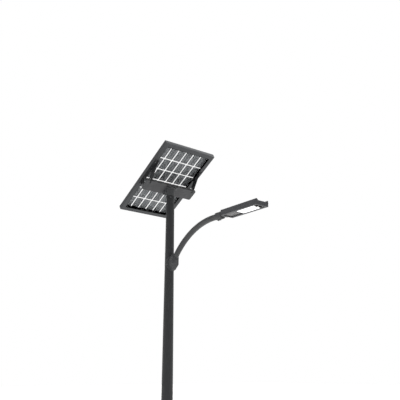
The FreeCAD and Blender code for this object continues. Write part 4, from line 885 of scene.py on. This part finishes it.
@dataclass
class SolarModule:
    """Glass-glass solar module in a dark frame, with its hinge leaves and tilt arms."""

    rail_edge_mm: float = 0.5
    bracket_edge_mm: float = 0.8
    tilt: float = math.radians(30)
    columns: int = 6
    rows: int = 6
    pitch_across_mm: float = 82.2
    pitch_along_mm: float = 126.3
    gap_mm: float = 10.0
    shift_mm: float = -12.2
    corner_mm: float = 1.5
    cell_back_mm: float = -0.08
    cell_front_mm: float = 0.1

    def slope(self) -> Vector:
        """Returns the direction up the module's slope."""
        return Vector((math.cos(self.tilt), 0, math.sin(self.tilt)))

    def normal(self) -> Vector:
        """Returns the direction out of the module's glass."""
        return Vector((-math.sin(self.tilt), 0, math.cos(self.tilt)))

    def point(self, s: float, y: float, n: float) -> Vector:
        """Turns a place in the glass sandwich into a point of the lamp's frame.

        Args:
            s: Millimetres up the slope from the sandwich's middle.
            y: Millimetres across.
            n: Millimetres out towards the front glass.

        Returns:
            The point.
        """
        low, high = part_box("black_border")
        middle = (low + high) / 2
        return middle + (self.slope() * s + self.normal() * n) * MM + Vector((0, y * MM, 0))

    def dress_frame(self) -> None:
        """Gives the CAD pieces of the module their finishes."""
        dress(RAIL_ALONG, "side_rail_left", "side_rail_right")
        dress(RAIL_ACROSS, "lower_rail", "upper_rail")
        dress(KEY_ALUMINIUM, "corner_keys")
        dress(GLASS, "rear_glass", "front_glass")
        dress(TINNED, "cell_ribbons")
        # The near-black border is partly painted shade for the dim inside of the frame.
        dress(BLACK_BORDER_AND_PAINTED_SHADE, "black_border")
        dress(BLACK_PLASTIC, "junction_box", "junction_box_lid")
        soften(self.rail_edge_mm, "side_rail_left", "side_rail_right", "lower_rail", "upper_rail")
        soften(self.bracket_edge_mm, "tilt_arm_left", "tilt_arm_right", "hinge_leaves", "junction_box_lid")
        dress(BRACKET_COAT, "tilt_arm_left", "tilt_arm_right", "hinge_leaves")
        dress(STAINLESS, "module_screws")

    def add_cells(self) -> None:
        """Adds the cells, each a wafer with a paste back and a dark front."""
        along = (self.pitch_along_mm - self.gap_mm) / 2
        across = (self.pitch_across_mm - self.gap_mm) / 2

        def build(mesh: bmesh.types.BMesh) -> None:
            """Fills the mesh with one wafer for each cell.

            Args:
                mesh: Mesh to fill.
            """
            for row in range(self.rows):
                s = self.shift_mm + (row - (self.rows - 1) / 2) * self.pitch_along_mm
                for column in range(self.columns):
                    y = (column - (self.columns - 1) / 2) * self.pitch_across_mm
                    outline = rounded_outline(s - along, s + along, y - across, y + across, self.corner_mm, 2)
                    faces = (self.cell_back_mm, self.cell_front_mm)
                    stack(mesh, [[self.point(a, b, n) for a, b in outline] for n in faces])
            mesh.faces.ensure_lookup_table()
            bmesh.ops.recalc_face_normals(mesh, faces=mesh.faces)
            for face in mesh.faces:
                face.material_index = 1 if face.normal.dot(self.normal()) > 0.5 else 0

        cells = new_piece("cell_wafers", build, [CELL_BACK, CELL_FRONT], "panel", False)
        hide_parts("solar_cells")


@dataclass
class BatteryHousing:
    """Flat housing on the pole top, its end caps, hinge bolts and what is sealed inside."""

    edge_mm: float = 1.0

    def dress_frame(self) -> None:
        """Gives the CAD pieces of the housing their finishes."""
        dress(CAST_COAT, "swivel_saddle", "end_cap_left", "end_cap_right")
        dress(HOUSING_COAT, "battery_tray", "battery_lid")
        soften(self.edge_mm, "battery_tray", "battery_lid", "end_cap_left", "end_cap_right", "swivel_saddle")
        dress(RUBBER, "housing_gasket")
        dress(BLACK_PLASTIC, "cable_glands", "cell_holders")
        dress(STAINLESS, "saddle_bolts", "lid_screws", "end_cap_screws")
        dress(STAINLESS, "tilt_lock_bolts", "tilt_pivot_bolts")
        dress(CELL_WRAP, "battery_cells")
        dress(CASE_METAL, "charge_controller")


# ---------------------------------------------------------------- studio
@dataclass
class Studio:
    """Plain pale floor, soft light and the camera."""

    eye: tuple[float, float, float] = (3.9548, -2.8013, 1.5953)
    heading: float = 51.488
    pitch: float = 17.224
    lens_mm: float = 50.0
    sensor_mm: float = 36.0
    clip_end: float = 500.0
    floor_size: float = 120.0
    floor_drop_mm: float = 1.0
    sky: str = "#ffffff"
    sky_strength: float = 1.0
    bright_side: tuple[float, float, float] = (-0.78, 0.62, 0.0)
    bright: float = 1.0
    dim: float = 0.22
    overhead: float = 2.0
    overhead_from: float = 0.55
    overhead_full: float = 0.95
    lit_middle: tuple[float, float, float] = (0.2, 0.0, 2.6)
    softbox_place: tuple[float, float, float] = (-4.5, 1.0, 4.5)
    softbox_size: float = 3.0
    softbox_power: float = 120.0

    def add_camera(self) -> None:
        """Adds the camera at standing eye height and makes it the scene's own."""
        data = bpy.data.cameras.new("camera")
        data.lens = self.lens_mm
        data.sensor_width = self.sensor_mm
        data.clip_end = self.clip_end
        camera = bpy.data.objects.new("camera", data)
        camera.location = self.eye
        camera.rotation_euler = (math.radians(90 + self.pitch), 0, math.radians(self.heading))
        bpy.context.scene.collection.objects.link(camera)
        bpy.context.scene.camera = camera

    def add_floor(self) -> None:
        """Adds the pale floor that the lamp stands on."""
        half = self.floor_size / 2
        data = bpy.data.meshes.new("floor")
        drop = -self.floor_drop_mm * MM
        corners = [(-half, -half, drop), (half, -half, drop), (half, half, drop), (-half, half, drop)]
        data.from_pydata(corners, [], [(0, 1, 2, 3)])
        data.materials.append(FLOOR_PAINT.material())
        floor = bpy.data.objects.new("floor", data)
        bpy.context.scene.collection.objects.link(floor)

    def add_sky(self) -> None:
        """Adds a surround that looks white and lights the lamp mostly from one side and from above."""
        world = bpy.data.worlds.new("surround")
        world.use_nodes = True
        tree = world.node_tree
        tree.nodes.clear()
        way = add_node(tree, "ShaderNodeTexCoord")
        parts = add_node(tree, "ShaderNodeSeparateXYZ", links={0: way.outputs["Generated"]})
        towards = add_node(tree, "ShaderNodeVectorMath", {"operation": "DOT_PRODUCT", 1: self.bright_side},
                           {0: way.outputs["Generated"]})
        sides = spread(tree, towards.outputs["Value"], self.dim, self.bright, -1.0, 1.0)
        top = spread(tree, parts.outputs["Z"], 0.0, self.overhead, self.overhead_from, self.overhead_full)
        lit = add_node(tree, "ShaderNodeMath", {"operation": "ADD"}, {0: sides, 1: top})
        seen = add_node(tree, "ShaderNodeLightPath")
        strength = add_node(tree, "ShaderNodeMix", {"data_type": "FLOAT", 3: self.sky_strength},
                            {0: seen.outputs["Is Camera Ray"], 2: lit.outputs[0]})
        sky = add_node(tree, "ShaderNodeBackground", {"Color": linear(self.sky)},
                       {"Strength": strength.outputs[0]})
        add_node(tree, "ShaderNodeOutputWorld", links={"Surface": sky.outputs[0]})
        bpy.context.scene.world = world

    def add_softbox(self, name: str, place: Vector, target: Vector, size: float, power: float) -> None:
        """Adds a large soft light.

        Args:
            name: Name of the light.
            place: Where it stands.
            target: The point it faces.
            size: Width of the lit square.
            power: Watts.
        """
        data = bpy.data.lights.new(name, "AREA")
        data.size = size
        data.energy = power
        light = bpy.data.objects.new(name, data)
        light.location = place
        light.rotation_euler = (target - place).to_track_quat("-Z", "Y").to_euler()
        bpy.context.scene.collection.objects.link(light)

    def set_up(self) -> None:
        """Builds the whole studio."""
        self.add_camera()
        self.add_floor()
        self.add_sky()
        self.add_softbox("rear_softbox", Vector(self.softbox_place), Vector(self.lit_middle),
                         self.softbox_size, self.softbox_power)
        scene = bpy.context.scene
        scene.view_settings.view_transform = "Standard"
        scene.view_settings.look = "None"


def main() -> None:
    """Builds every sub-assembly and the studio round the lamp."""
    logging.basicConfig(level=logging.INFO, format="%(name)s: %(message)s")
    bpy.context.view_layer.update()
    pole = Pole()
    pole.dress_frame()
    pole.add_shaft_skin()
    pole.add_welds()
    arm = LampArm()
    arm.dress_frame()
    head = LampHead()
    head.dress_frame()
    head.add_cover_skin()
    housing = BatteryHousing()
    housing.dress_frame()
    module = SolarModule()
    module.dress_frame()
    module.add_cells()
    Studio().set_up()


if __name__ == "__main__":
    main()
